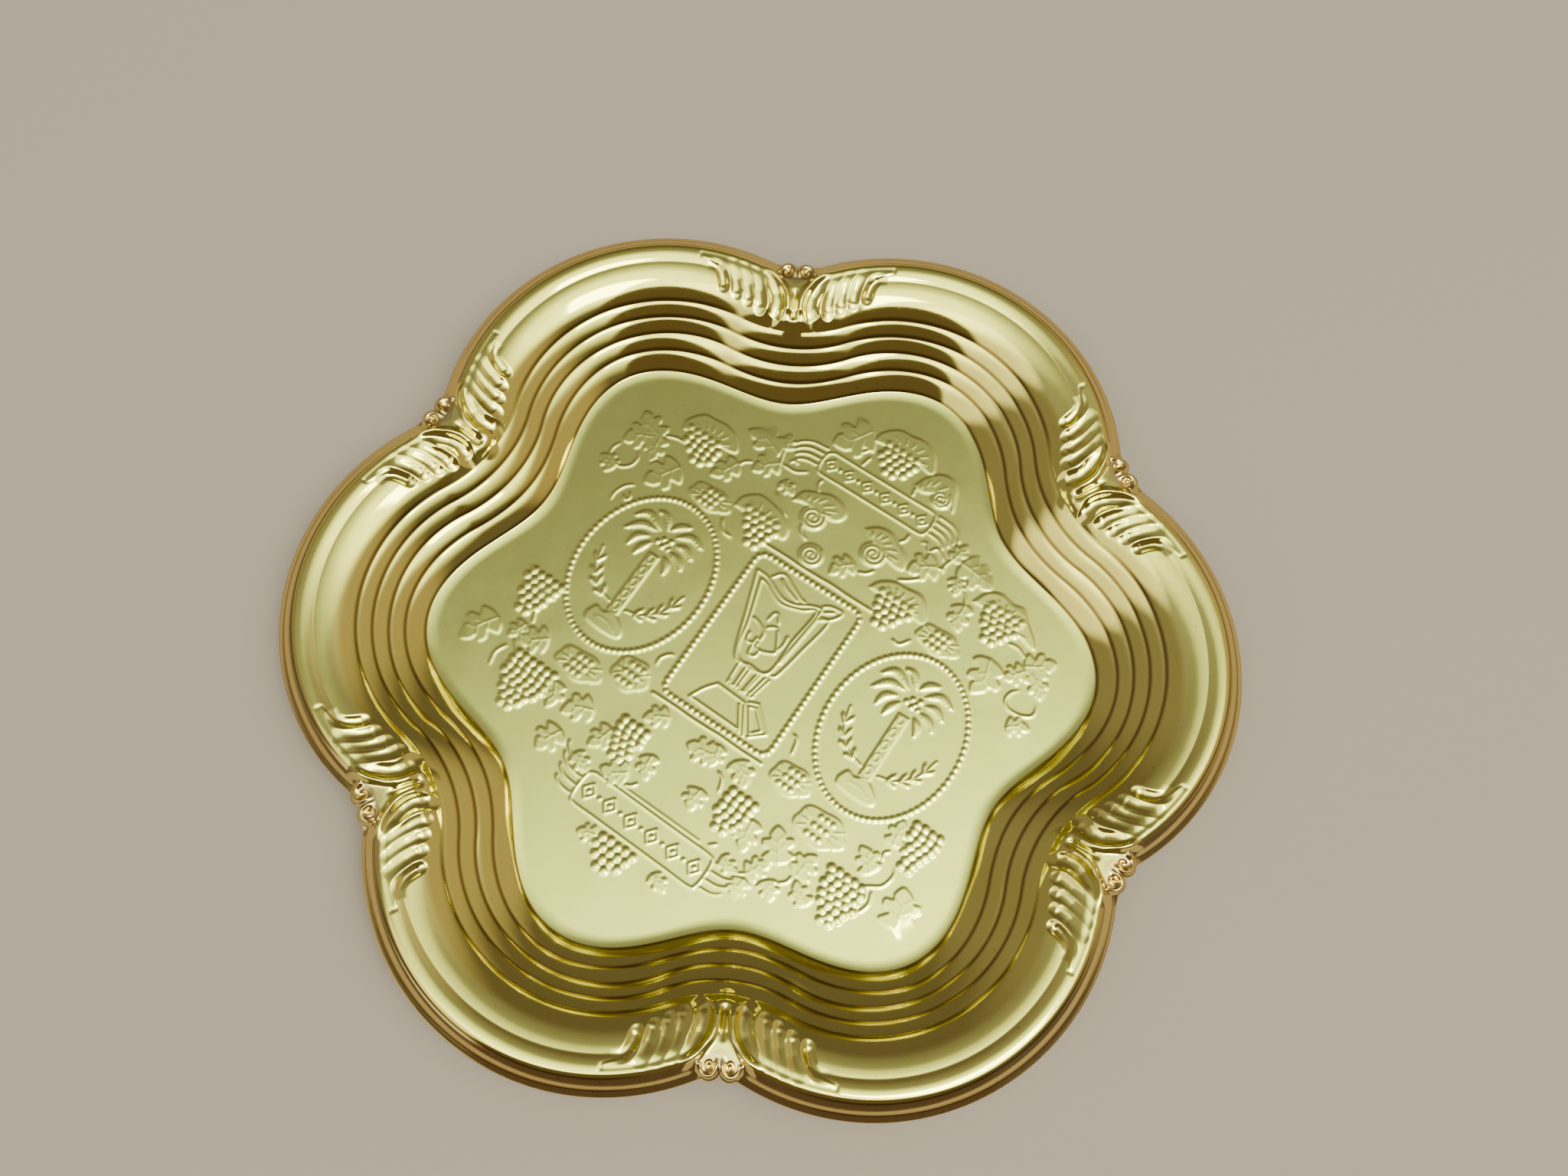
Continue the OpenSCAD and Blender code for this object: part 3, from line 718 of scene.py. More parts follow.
# Leaf caps over the large bunches: outline from the left end over the top to the right end.
CAPS = [
    [(-8.5, 58.5), (-8, 61.5), (-5, 64.5), (-1.5, 65), (1.5, 65.5), (5, 64.5), (7, 62), (7.5, 59),
     (0, 60)],
    [(-47.5, 34.5), (-48, 37), (-45.5, 40.5), (-42.5, 41), (-39, 41.3), (-35.5, 40), (-33.4, 36.5),
     (-40, 35.5)],
    [(32.8, 38), (34.5, 41.8), (37.5, 43.4), (40.8, 42.8), (43.6, 43.3), (46, 41), (49.5, 38), (50, 36),
     (41, 38)],
    [(-26, 25.5), (-25.5, 28.5), (-22.5, 31.2), (-18, 31), (-14.5, 30), (-11.7, 27.5), (-12, 24.8),
     (-19, 25.5)],
    [(11.3, 27), (12.5, 29.5), (15.5, 31.5), (18.5, 31.8), (22.5, 32.2), (25.2, 30), (26.4, 26.5),
     (19, 27)],
]
# Bunches: left, right, bottom and top of the grapes, and the lean of the bunch to the right.
BUNCHES = [
    (-6, 4.5, 52.5, 61, 0), (-46, -35.6, 28.5, 37, 2), (36, 45.4, 31, 41, 0), (-22.6, -13, 18.8, 28, 1.5),
    (13.6, 23.2, 19.8, 29, -0.5), (-54.6, -45.6, -24.5, -13.4, 0), (50, 57.4, -23.2, -11.6, 0),
    (-45.6, -33.5, -44.4, -31, 0), (40.2, 50.4, -42.6, -30, 1), (-16.4, -8.4, -39.5, -29.5, 0.5),
    (12, 20.2, -39.4, -28.8, -0.5), (-5, 5, -61, -53, 0),
]
SMALL_BUNCHES = [
    (-37, -26, 20.6, 26.6), (26, 37, 22, 28.2), (-25.2, -16.2, -25.6, -17.6), (17.6, 27.4, -24, -17),
    (-37.4, -25.6, -30, -23.2), (27.6, 40, -29.8, -21.6),
]
ROSES = [(-9, 33.6, 3.1), (7.6, 34.2, 3.1), (-4.1, 25.6, 2.9), (13, 55, 2.4)]
ROSE_CAPS = [
    [(-15.6, 34.5), (-14.6, 38), (-11.2, 39.8), (-8.2, 41), (-4.5, 40.2), (-2.8, 38), (-5, 35.5),
     (-12, 35.5)],
    [(2.5, 38.6), (5, 40.7), (8.2, 41.2), (11, 39.8), (14, 38.2), (15.6, 35), (12, 34.6), (6, 36.6)],
    [(5.8, 54.5), (7.2, 58), (10, 60.8), (14, 60.6), (16.2, 56.5), (17, 53.8), (13.5, 56.6), (8.5, 54)],
]
TENDRILS = [
    [(-50, 30.4), (-47, 31.6), (-43.5, 31.8)], [(44.8, 34.2), (47.5, 34.4), (50.2, 33.2)],
    [(-31, 34.6), (-30.4, 36), (-28.8, 37.2)], [(29.2, 39), (31, 37.6), (32.2, 35.4)],
    [(15.6, 32.2), (17.8, 33.6), (20.2, 35.8)], [(20.2, 39.2), (22, 40.2), (23.4, 40.6)],
    [(-20, 34), (-17.4, 32.4), (-14, 30)], [(-10.4, 31), (-9.2, 29), (-7, 28)],
    [(7, 28.4), (9, 29.4), (10.2, 31.2)],
    [(-57, 23.4), (-58, 21), (-57.4, 18.8), (-54, 17.8), (-51.8, 19.6), (-51.6, 22), (-52.8, 23.6)],
    [(53.2, 26.4), (51.6, 24.6), (51.4, 22.4), (53.2, 21), (56.4, 21.4), (58.4, 23), (57.8, 25.6)],
    [(-26.4, 21.4), (-24.4, 18.8), (-21.6, 18.4)], [(22.4, 19.6), (24.6, 19.4), (26.4, 22)],
    [(-12.6, 43.2), (-12.8, 41.4), (-11.4, 39.6)], [(11.8, 43.4), (11.8, 41.6), (10.8, 40.2)],
    [(15, 43.2), (16.4, 43.8), (17.8, 42.4), (19, 44), (20.4, 43.6), (22.6, 42)],
    [(-23, 40.8), (-21, 40.8), (-19, 41), (-16.4, 42.8)], [(-21.6, 42.2), (-20.8, 43.2), (-19.6, 42.8)],
    [(-24.6, 44.6), (-24, 42.6), (-23.2, 40.4), (-22.8, 38.6), (-21.6, 38.4)],
    [(23.4, 43.8), (22.8, 41.4), (23.4, 39.6)], [(34.6, -37.4), (34.4, -39.2), (32.6, -41)],
    [(51.6, -23.2), (52.5, -25), (51.8, -28), (49.8, -29.6), (46.4, -32)],
    [(50.4, -30), (51.4, -33), (50.6, -36)], [(8, -28), (10, -29.2), (11.2, -32.2)],
    [(-47.6, -32), (-48.8, -35), (-48, -38.2)], [(-47.6, -22), (-46.2, -24.8)],
    [(48.8, -23.6), (48.2, -22), (49.2, -20.8)], [(-47.4, -30), (-45, -32), (-43, -32.4)],
    [(-7, -42.6), (-5.4, -41.8), (-4.4, -40.4)], [(16, -42.6), (17.6, -41.2)],
    [(-17.4, -16.6), (-17.6, -14.6), (-16.4, -12.8), (-15.2, -12.4)],
    [(16.8, -11.6), (18.4, -12.4), (19.4, -16)],
    [(-50.4, 9.6), (-50.6, 12), (-49.6, 14.6), (-47.8, 16.2)],
    [(-48.8, 12.6), (-47.6, 11.8), (-47, 12.8), (-48, 14)], [(-6.6, 54.6), (-7.2, 51.4)],
    [(6.4, 54.2), (7, 51.8)], [(-7.6, 56.4), (-9.2, 54)],
]
BURNER = [
    [(-12, 15.5), (-9, 15.3), (-6, 14), (-3, 13), (0, 13.5), (3, 15.3), (5, 16), (5.8, 15.3), (5.4, 7.6),
     (4.8, 0), (4, -4), (-0.1, -4.3), (-4.2, -4.3), (-8.2, 5.6), (-12, 15.5)],
    [(-10, 14.2), (-8, 13.8), (-4, 12), (-1.5, 12), (2, 13.3), (5, 14.7), (4.5, 5.5), (4, -3.7),
     (-3.7, -4), (-6.8, 5), (-10, 14.2)],
    [(-8.2, 16), (-7, 17.7), (-5.5, 18), (-3, 16.8), (0, 15.5), (1.5, 15.2)],
    [(-6, 16.8), (-4, 15.6), (-0.3, 14.5)],
    [(5.5, 16.8), (7, 17.8), (9.7, 18.2), (10, 17.2), (8.5, 15), (6.5, 14.3)], [(6.5, 15.7), (8.3, 17)],
    [(6.2, 13.5), (8.7, 14), (7.6, 5.6), (6.3, -2.5), (5.2, -3.6)], [(6.2, 13), (5.7, 6.4), (5.2, 0)],
    [(-3.5, -12), (4, -12.2)], [(-3.5, -12), (-5.4, -14.6), (-7, -18)], [(-7, -18), (6, -18)],
    [(4.8, -11.5), (6.8, -10.6)], [(6.8, -10.6), (12.2, -15.3)], [(12.2, -15.3), (9, -18.2)],
    [(5.3, -12.3), (6.8, -11.7)], [(6.8, -11.7), (10.8, -15.3)], [(10.8, -15.3), (9, -17.3)],
    [(9, -17.3), (5.3, -12.3)], [(3.2, -13), (6.8, -18.3)], [(4.2, -12.5), (8, -18.5)],
    [(-6, 5.5), (-4, 5), (-2, 3.8), (-1.7, 2)], [(-3, 7), (-2.7, 9), (-1.8, 9.2), (-0.5, 7.7)],
    [(-2, 5.3), (-1.2, 6), (-0.3, 6.4)],
    [(-1.8, 1), (-1.5, 0), (0, -0.2), (2.5, 1), (2.7, 2), (1, 5), (0.2, 6)],
    [(3, 6), (3.3, 4), (2.8, 1.5)], [(-4.8, 2), (-4.2, 0.2), (-2.7, 0.4), (-2.6, 1.8)],
    [(-2.5, 0), (-2, -2.2), (-0.6, -2), (-0.3, -0.2)],
]
# The strokes of the burner's stem and the hooks at their lower ends, across.
STEM_X = [-2.5, -0.5, 0.5, 2.5, 3.2, 4.5, 5.5]
HOOK_X = [-1, 1.5, 4]
# The rod above the panel and the one below it: their heights, and the line that both follow about them.
ROD_Y = [22.0, -21.8]
ROD = [(-14.2, -0.3), (-8, -0.1), (-4, -0.15), (1, 0.05), (4, 0.25), (9, 0.2), (15, 0.4)]
# Palm, about its own medallion's centre: each frond from its tip to the crown.
FRONDS = [
    [(-10, 11), (-7, 13.2), (-2.6, 11.2)], [(-10.2, 7), (-7, 10.2), (-3.2, 10.6)],
    [(-7.2, 4), (-6.4, 7), (-4, 8.6)], [(-4.6, 3), (-3.9, 5.4), (-2.6, 7.6)],
    [(-5.8, 15.2), (-3.4, 14.8), (-1, 12)], [(3.2, 15.8), (0.8, 14.4), (-0.6, 12.4)],
    [(8.2, 12.6), (4.6, 13.6), (1.4, 11.6)], [(7.8, 9), (5, 10.4), (2.6, 10)],
    [(7.2, 5.6), (5, 7.2), (2, 7.8)], [(4.2, 2.4), (3.4, 4.8), (1.8, 6.2)],
]
TRUNK = [(-1.6, 5.4), (-1.5, -11.6), (1.3, -11.6), (1.2, 5.4)]
DATES = [(-1.6, 8.6), (-0.6, 9.8), (0.6, 9), (1.2, 10.2), (0, 8), (1.6, 8.2)]
BUSH = [
    (-5.2, -14.4), (-4, -12), (-2, -12.4), (0, -11.4), (2.6, -12.4), (4.8, -14.6), (4.2, -16.2), (0, -16.6),
    (-4.4, -16),
]
# The right-hand leafy spray beside the trunk, the shares of its length where leaves grow, and their length.
SPRAY = [(2.2, -9.6), (6.4, -8.2), (9.8, -4.4), (11.4, 0.6)]
SPRAY_AT, SPRAY_LEAF = (0.18, 0.38, 0.58, 0.78), 2.7
# Cartouches: left, right, bottom and top of the frame, its rise to the right, and the way its ribbons bend.
CARTOUCHES = [(-15.6, 14.8, 44.0, 50.4, 0.8, 1), (-15, 19.2, -52, -44, -0.2, -1)]
LOZENGES, RIBBONS = 6, 4
# Outline of each cartouche's own piece: centre, half sizes, corner radius and turn.
CARTOUCHE_LOOPS = {"upper": (-0.4, 47.4, 15.6, 4.1, 2.5, 1.3), "lower": (2.1, -48.0, 17.6, 5.1, 2.5, 0)}


def ellipse(x, y, rx, ry, turn, n):
    t = np.arange(n) * 2 * math.pi / n
    return turned(np.column_stack([rx * np.cos(t), ry * np.sin(t)]), x, y, turn)


def box_loop(x, y, hx, hy, corner, turn, pitch):
    """Points at about one pitch round a rounded box, starting at the middle of its right side."""
    arc = np.radians(np.arange(0, 91, 15))
    quarter = np.column_stack([hx - corner + corner * np.cos(arc), hy - corner + corner * np.sin(arc)])
    ring = np.vstack([quarter, quarter[::-1] * [-1, 1], -quarter, quarter[::-1] * [1, -1]])
    ring = np.vstack([[hx, 0], ring, [hx, 0]])
    steps = np.concatenate([[0], np.cumsum(np.linalg.norm(np.diff(ring, axis=0), axis=1))])
    n = 2 * round(steps[-1] / pitch / 2)
    at = np.arange(n) * steps[-1] / n
    loop = np.column_stack([np.interp(at, steps, ring[:, 0]), np.interp(at, steps, ring[:, 1])])
    return turned(loop, x, y, turn)


def draw_beads(f, loop):
    f.ridge(np.vstack([loop, loop[:1]]), 0.75, 0.16)
    for x, y in loop:
        f.dome(x, y, 0.62, 0.46)


def draw_leaf(f, x, y, size, angle, seed):
    """A lobed leaf with a vein down the middle and slanting strokes beside it."""
    wide = 0.86 + 0.1 * (seed % 3)
    side = np.array(LEAF) * [1, wide]
    loop = np.vstack([side, side[-2:0:-1] * [1, -1]]) - [0.5, 0]
    bend = 0.12 * ((seed % 5) - 2) / 2
    loop[:, 1] += bend * (1 - 4 * loop[:, 0] ** 2)
    f.plateau(turned(curve(np.vstack([loop, loop[:1]]), 5)[:-1], x, y, angle, size), 0.3, 0.5, 0.16)
    mid = [(-0.46, bend * 0.2), (0, bend), (0.36, bend * 0.5)]
    f.line(turned(mid, x, y, angle, size), 0.3, 0.52, (0, 0.4))
    for s, k in ((-0.24, 1), (-0.12, -1), (0.04, 1), (0.12, -1)):
        stroke = [(s, bend + 0.03 * k), (s + 0.16, bend + k * wide * 0.24)]
        f.line(turned(stroke, x, y, angle, size), 0.28, 0.46, (0, 0.3))


def draw_bunch(f, x0, x1, y0, y1, lean):
    """Grapes in staggered rows that narrow towards the bottom."""
    wide, high = x1 - x0 - 2 * GRAPE_R, y1 - y0 - 2 * GRAPE_R
    rows = max(int(round(high / (GRAPE_PITCH * 0.87))), 1)
    for i in range(rows + 1):
        up = i / rows
        y = y0 + GRAPE_R + up * high
        middle = (x0 + x1) / 2 + lean * (0.5 - up)
        row = wide * (0.22 + 0.78 * math.sin(math.pi / 2 * min(up * 1.35, 1)))
        n = max(int(round(row / GRAPE_PITCH)), 0) + 1
        shift = 0.25 * GRAPE_PITCH * (1 if i % 2 else -1) * (n > 1)
        for j in range(n):
            x = middle + (j - (n - 1) / 2) * GRAPE_PITCH + shift * (0.6 if n % 2 else 0.2)
            f.dome(x, y + 0.14 * math.sin(3.1 * j + 1.7 * i), GRAPE_R, GRAPE_H)


def draw_cap(f, points):
    """A scalloped leaf with strokes fanning from the bunch's top."""
    loop = curve(points + points[:1], 6)[:-1]
    f.plateau(loop, 0.3, 0.55, 0.16)
    foot = np.array(points[-1], float) + [0, -1.0]
    rim = curve(points[:-1], 8)
    for k in range(CAP_STROKES):
        way = rim[int((k + 0.7) * len(rim) / (CAP_STROKES + 0.4))] - foot
        stroke = [foot + way * 0.42, foot + way * 0.62 + [0.3, 0.2], foot + way * 0.86]
        f.line(stroke, 0.34, 0.52, (0.2, 0.3))


def draw_small_bunch(f, x0, x1, y0, y1):
    """A round bunch with a leaf on each side, all inside one scalloped outline."""
    x, y, hx, hy = (x0 + x1) / 2, (y0 + y1) / 2, (x1 - x0) / 2, (y1 - y0) / 2
    t = np.radians(np.arange(0, 360, 6))
    wobble = 1 + 0.07 * np.cos(5 * t + math.radians(40))
    loop = np.column_stack([x + hx * wobble * np.cos(t), y + hy * wobble * np.sin(t)])
    f.plateau(loop, 0.22, 0.45, 0.12, 0.3)
    for side in (-1, 1):
        for k in (-1, 0, 1):
            a, b = (x + side * hx * 0.5, y + k * hy * 0.24), (x + side * hx * 0.86, y + k * hy * 0.6)
            f.line([a, b], 0.32, 0.44, (0, 0.3))
    for i in range(3):
        for j in range(3):
            f.dome(x + (j - 1) * 1.55 + 0.4 * (i - 1), y + (i - 1) * hy * 0.56, 0.82, 0.55)


def draw_rose(f, x, y, r):
    t = np.radians(np.arange(0, 800, 20))
    grow = r * (0.14 + 0.8 * t / t[-1])
    f.plateau(ellipse(x, y, r * 1.05, r, 0, 40), 0.2, 0.4, 0.1)
    f.ridge(np.column_stack([x + grow * np.cos(t), y + grow * np.sin(t)]), 0.42, 0.5)


def draw_blade(f, points, width, h):
    """A slender curved leaf, pointed at both ends, with a row of small dots."""
    pts = curve(points)
    win = f.window(pts.min(0), pts.max(0), width)
    d, s = to_line(f.x[win], f.y[win], pts)
    half = width * np.sin(np.clip(s * 0.94 + 0.03, 0, 1) * math.pi) ** 0.7
    f.h[win] = np.maximum(f.h[win], h * smoothstep(half - d, -0.1, 0.42))
    for p in pts[2:-3:2]:
        f.dome(p[0], p[1] - 0.3, 0.36, h + 0.16)


def draw_palm(f, x, y):
    def at(points):
        return [tuple(p) for p in turned(points, x, y, TURN)]

    for frond in FRONDS:
        draw_blade(f, at(frond), 0.95, 0.34)
    f.plateau(np.array(at(TRUNK)), 0.22, 0.35, 0.18)
    for k in range(5):
        (cx, cy), = at([(-0.2, 4.0 - 3.4 * k)])
        loop = ellipse(cx, cy, 0.7, 1.1, 0, 20)
        f.ridge(np.vstack([loop, loop[:1]]), 0.3, 0.46)
    for cx, cy in at(DATES):
        f.dome(cx, cy, 0.62, 0.5)
    bush = at(BUSH + BUSH[:1])
    f.plateau(curve(bush, 6)[:-1], 0.3, 0.5, 0.16)
    f.line(at([(-2.4, -14), (0.4, -14), (3, -15.2)]), 0.3, 0.46)
    # A leafy spray on each side of the trunk.
    for side in (-1, 1):
        stem = curve(at([(side * px, py) for px, py in SPRAY]))
        f.ridge(stem, 0.34, 0.4)
        for k, s in enumerate(SPRAY_AT):
            p = stem[int(s * (len(stem) - 1))]
            lean = 90 - side * (60 - 16 * k)
            for bend in (-34, 34):
                way = math.radians(lean + bend)
                tip = p + SPRAY_LEAF * np.array([math.cos(way), math.sin(way)])
                draw_blade(f, [tuple(p), tuple((p + tip) / 2), tuple(tip)], 0.5, 0.32)


def draw_cartouche(f, x0, x1, y0, y1, slant, open_end):
    """A long frame with rounded ends, four ribbons at each end, and a row of plain ornament."""
    def at(points):
        return [(px, py + slant * (px - x0) / (x1 - x0)) for px, py in points]

    my, end, a, b = (y0 + y1) / 2, 1.6, 1.5, (y1 - y0) * 0.24
    top = [(x0 + end, y1), (x0 / 2, y1), (x1 / 2, y1), (x1 - end, y1), (x1 - 0.3, y1 - 1), (x1, my)]
    bottom = [(x1 - 0.3, y0 + 1), (x1 - end, y0), (x1 / 2, y0), (x0 / 2, y0), (x0 + end, y0)]
    left = [(x0 + 0.3, y0 + 1), (x0, my), (x0 + 0.3, y1 - 1), (x0 + end, y1)]
    f.line(at(top + bottom + left), LINE_W, LINE_H)
    step = (x1 - x0) / LOZENGES
    for k in range(LOZENGES):
        (cx, cy), = at([(x0 + (k + 0.5) * step, my)])
        lozenge = [(cx - a, cy), (cx, cy + b), (cx + a, cy), (cx, cy - b), (cx - a, cy)]
        f.ridge(np.array(lozenge), 0.36, 0.36)
        f.dome(cx, cy, 0.55, 0.4)
        if k:
            f.dome(cx - step / 2, cy, 0.5, 0.36)
    gap = (y1 - y0) * 0.26
    for side, edge in ((-1, x0 - 0.5), (1, x1 + 0.5)):
        for k in range(RIBBONS):
            start = y1 + (0 if open_end > 0 else -0.6) - k * gap
            reach = 7.4 - 0.8 * k
            drop = open_end * (3.4 - 0.5 * k)
            line = [(edge, start), (edge + side * reach * 0.5, start - drop * 0.12),
                    (edge + side * reach * 0.82, start - drop * 0.5), (edge + side * reach, start - drop)]
            f.line(at(line), 0.45, LINE_H, (0, 0.1))


def draw_motifs(f):
    for points in CAPS + ROSE_CAPS:
        draw_cap(f, points)
    for k, (x, y, size, angle) in enumerate(LEAVES):
        draw_leaf(f, x, y, size, angle, k)
    for box in BUNCHES:
        draw_bunch(f, *box)
    for box in SMALL_BUNCHES:
        draw_small_bunch(f, *box)
    for x, y, r in ROSES:
        draw_rose(f, x, y, r)
    for points in TENDRILS:
        f.line(points, 0.46, 0.4, (0.15, 0.15))
    draw_beads(f, box_loop(*PANEL_AT, *PANEL_HALF, PANEL_CORNER, TURN, 1.44))
    for y in ROD_Y:
        f.line([(px, y + py) for px, py in ROD], 0.5, 0.42)
    for points in BURNER:
        f.line(points, LINE_W, LINE_H)
    for x in STEM_X:
        f.line([(x, -4.8), (x * 0.8, -10.4)], 0.34, 0.3)
    for x in HOOK_X:
        f.line([(x - 0.8, -9.6), (x, -10.5), (x + 0.8, -9.9)], 0.34, 0.3)
    for x, y in OVALS.values():
        draw_beads(f, ellipse(x, y, *OVAL_HALF, TURN, 78))
        draw_palm(f, x, y)
    for cartouche in CARTOUCHES:
        draw_cartouche(f, *cartouche)
    f.line([(-11, -43), (14, -43)], 0.34, 0.3)


def draw_floor():
    """The drawn floor: heights of its upper face, of its lower face, and how much detail is where."""
    f = Relief(*FIELD_BOX, FIELD_PITCH)
    draw_motifs(f)
    crisp, low, swell = (f.blurred(f.h, sigma) for sigma in (CRISP, SOFT, SWELL))
    # The sheet keeps a faint unevenness from the press.
    ripple = 0.012 * np.sin(0.31 * f.x + 0.8 * np.sin(0.17 * f.y))
    ripple = ripple * np.sin(0.27 * f.y + 1.1 * np.sin(0.13 * f.x))
    coarse = Relief(*FIELD_BOX, 10 * FIELD_PITCH)
    tip = tip_of(np.hypot(coarse.x, coarse.y), np.degrees(np.arctan2(coarse.y, coarse.x)))
    fade = coarse.sample(1 - smoothstep(tip, 66.5, 70.5), f.x, f.y)
    f.h = (DRAW_H * (crisp + 0.2 * swell) + ripple) * fade
    f.low = 0.5 * low * fade
    f.detail = f.blurred(np.abs(crisp - low), 0.3)
    return f


# Spacing of the points on a seam between two floor pieces and on an outline.
SEAM_PITCH, LOOP_PITCH = 0.7, 0.6


class FloorLines:
    """Points and edges that every floor piece's outline follows."""

    def __init__(self):
        self.points, self.edges, self.loops = [], [], {}

    def loop(self, name, pts):
        first, n = len(self.points), len(pts)
        self.points += [tuple(p) for p in pts]
        self.edges += [(first + k, first + (k + 1) % n) for k in range(n)]
        self.loops[name] = np.array(pts)
        return first, n

    def seam(self, a, b):
        start, end = np.array(self.points[a]), np.array(self.points[b])
        n = max(int(np.hypot(*(end - start)) / SEAM_PITCH), 1)
        pts = start + (np.arange(1, n) / n)[:, None] * (end - start)
        first = len(self.points)
        self.points += [tuple(p) for p in pts]
        chain = [a] + list(range(first, first + len(pts))) + [b]
        self.edges += list(zip(chain[:-1], chain[1:]))
        return [self.points[k] for k in chain]


def floor_lines():
    lines = FloorLines()
    angles = ring_angles(0)
    r = level_r(np.full(len(angles), FIELD_TIP), angles)
    ring = np.column_stack([r * np.cos(np.radians(angles)), r * np.sin(np.radians(angles))])
    outer, n = lines.loop("field", ring)
    wide, high = PANEL_HALF[0] + 0.95, PANEL_HALF[1] + 2.8
    panel, m = lines.loop("panel", box_loop(*PANEL_AT, wide, high, 2.0, TURN, LOOP_PITCH))
    rx, ry = (half + 1.0 for half in OVAL_HALF)
    left, k = lines.loop("left", ellipse(*OVALS["left"], rx, ry, TURN, 200))
    right, _ = lines.loop("right", ellipse(*OVALS["right"], rx, ry, TURN, 200))
    for name, box in CARTOUCHE_LOOPS.items():
        lines.loop(name, box_loop(*box, LOOP_PITCH))
    seam = lines.seam(outer + n // 2, left + k // 2) + lines.seam(left, panel + m // 2)
    seam += lines.seam(panel, right + k // 2) + lines.seam(right, outer)
    lines.split = np.array(seam)
    return lines


def far_from(points, others, gap):
    """True for points that are further than the gap from all the others."""
    cells = {}
    for x, y in others:
        cells.setdefault((int(x // gap), int(y // gap)), []).append((x, y))
    out = np.ones(len(points), bool)
    keys = np.floor(points / gap).astype(int)
    for i, (kx, ky) in enumerate(keys):
        for dx in (-1, 0, 1):
            for dy in (-1, 0, 1):
                for x, y in cells.get((kx + dx, ky + dy), ()):
                    if (points[i, 0] - x) ** 2 + (points[i, 1] - y) ** 2 < gap * gap:
                        out[i] = False
    return out


# The lattices of points in the upper and the lower face: the finest spacing, how often it may double,
# and the detail at which it halves again.
TOP_LATTICE = (0.19, 4, [0.0006, 0.002, 0.006, 0.014])
LOW_LATTICE = (0.8, 2, [0.002, 0.01])
# Lattice points keep this far from the outlines.
CLEAR = 0.28


def lattice(f, finest, levels, limits):
    """Points of a triangular lattice, closer together where the relief has detail."""
    n = 2**levels
    rows, cols = int(150 / finest / 0.866) // n * n, int(160 / finest) // n * n
    i, j = np.meshgrid(np.arange(-rows // 2, rows // 2), np.arange(-cols // 2, cols // 2), indexing="ij")
    x, y = (j + i / 2) * finest, i * finest * 0.8660254
    ok = (np.abs(x) < 70) & (np.abs(y) < 72)
    i, j, x, y = i[ok], j[ok], x[ok], y[ok]
    step = 2 ** (levels - np.searchsorted(limits, f.sample(f.detail, x, y)))
    keep = (i % step == 0) & (j % step == 0)
    x, y = x[keep], y[keep]
    keep = np.hypot(x, y) < level_r(np.full(len(x), FIELD_TIP - 0.4), np.degrees(np.arctan2(y, x)))
    return np.column_stack([x[keep], y[keep]])


def triangulate(lines, inner):
    pts = [Vector(p) for p in lines.points] + [Vector(p) for p in inner.tolist()]
    verts, _, faces, *_ = delaunay_2d_cdt(pts, lines.edges, [], 0, 1e-6, False)
    assert len(verts) == len(pts)
    tris = np.array(faces)
    xy = np.array([tuple(v) for v in verts])
    # Beside the cusps the triangles of the convex hull lie outside the field.
    ring = lines.loops["field"]
    at_ring = np.flatnonzero((tris < len(ring)).all(1))
    mid = xy[tris[at_ring]].mean(1)
    tris = np.delete(tris, at_ring[~inside(mid[:, 0], mid[:, 1], ring)], axis=0)
    a, b, c = xy[tris[:, 0]], xy[tris[:, 1]], xy[tris[:, 2]]
    area = (b[:, 0] - a[:, 0]) * (c[:, 1] - a[:, 1]) - (b[:, 1] - a[:, 1]) * (c[:, 0] - a[:, 0])
    tris[area < 0] = tris[area < 0][:, ::-1]
    return xy, tris


def sort_triangles(lines, xy, tris):
    """The number of the field that each triangle belongs to."""
    mid = xy[tris].mean(1)
    x, y = mid[:, 0], mid[:, 1]
    seam_y = np.interp(x, lines.split[:, 0], lines.split[:, 1])
    field = np.where(y > seam_y, 0, 1)
    for k, name in enumerate(("panel", "left", "right", "upper", "lower")):
        loop = lines.loops[name]
        near = np.all((mid > loop.min(0)) & (mid < loop.max(0)), axis=1)
        where = np.flatnonzero(near)
        field[where[inside(x[near], y[near], loop)]] = k + 2
    return field


# Each floor piece and the CAD nodes that it stands for, in the order that sort_triangles numbers them.
FIELDS = {
    "vine_field_upper": ("grapes_upper", "leaves_upper", "rose_sprays"),
    "vine_field_lower": ("grapes_lower", "leaves_lower"),
    "panel_field": ("panel_beads", "panel_rods", "burner_relief"),
    "medallion_field_left": ("medallion_beads_left", "palm_left"),
    "medallion_field_right": ("medallion_beads_right", "palm_right"),
    "cartouche_field_upper": ("cartouche_upper",),
    "cartouche_field_lower": ("cartouche_lower",),
}


def build_floor():
    f = draw_floor()
    lines = floor_lines()
    guard = np.array(lines.points)
    sheets = []
    for heights, up, level, grid in ((f.h, 1, SHEET, TOP_LATTICE), (f.low, -1, 0.0, LOW_LATTICE)):
        inner = lattice(f, *grid)
        xy, tris = triangulate(lines, inner[far_from(inner, guard, CLEAR)])
        z, gy, gx = (f.sample(values, *xy.T) for values in (heights, *np.gradient(heights, f.pitch)))
        verts = np.column_stack([xy, z + level])
        sheets.append((verts, normal_of(gx, gy, up), tris, sort_triangles(lines, xy, tris)))
    for k, (name, nodes) in enumerate(FIELDS.items()):
        floor_piece(name, k, sheets, nodes)


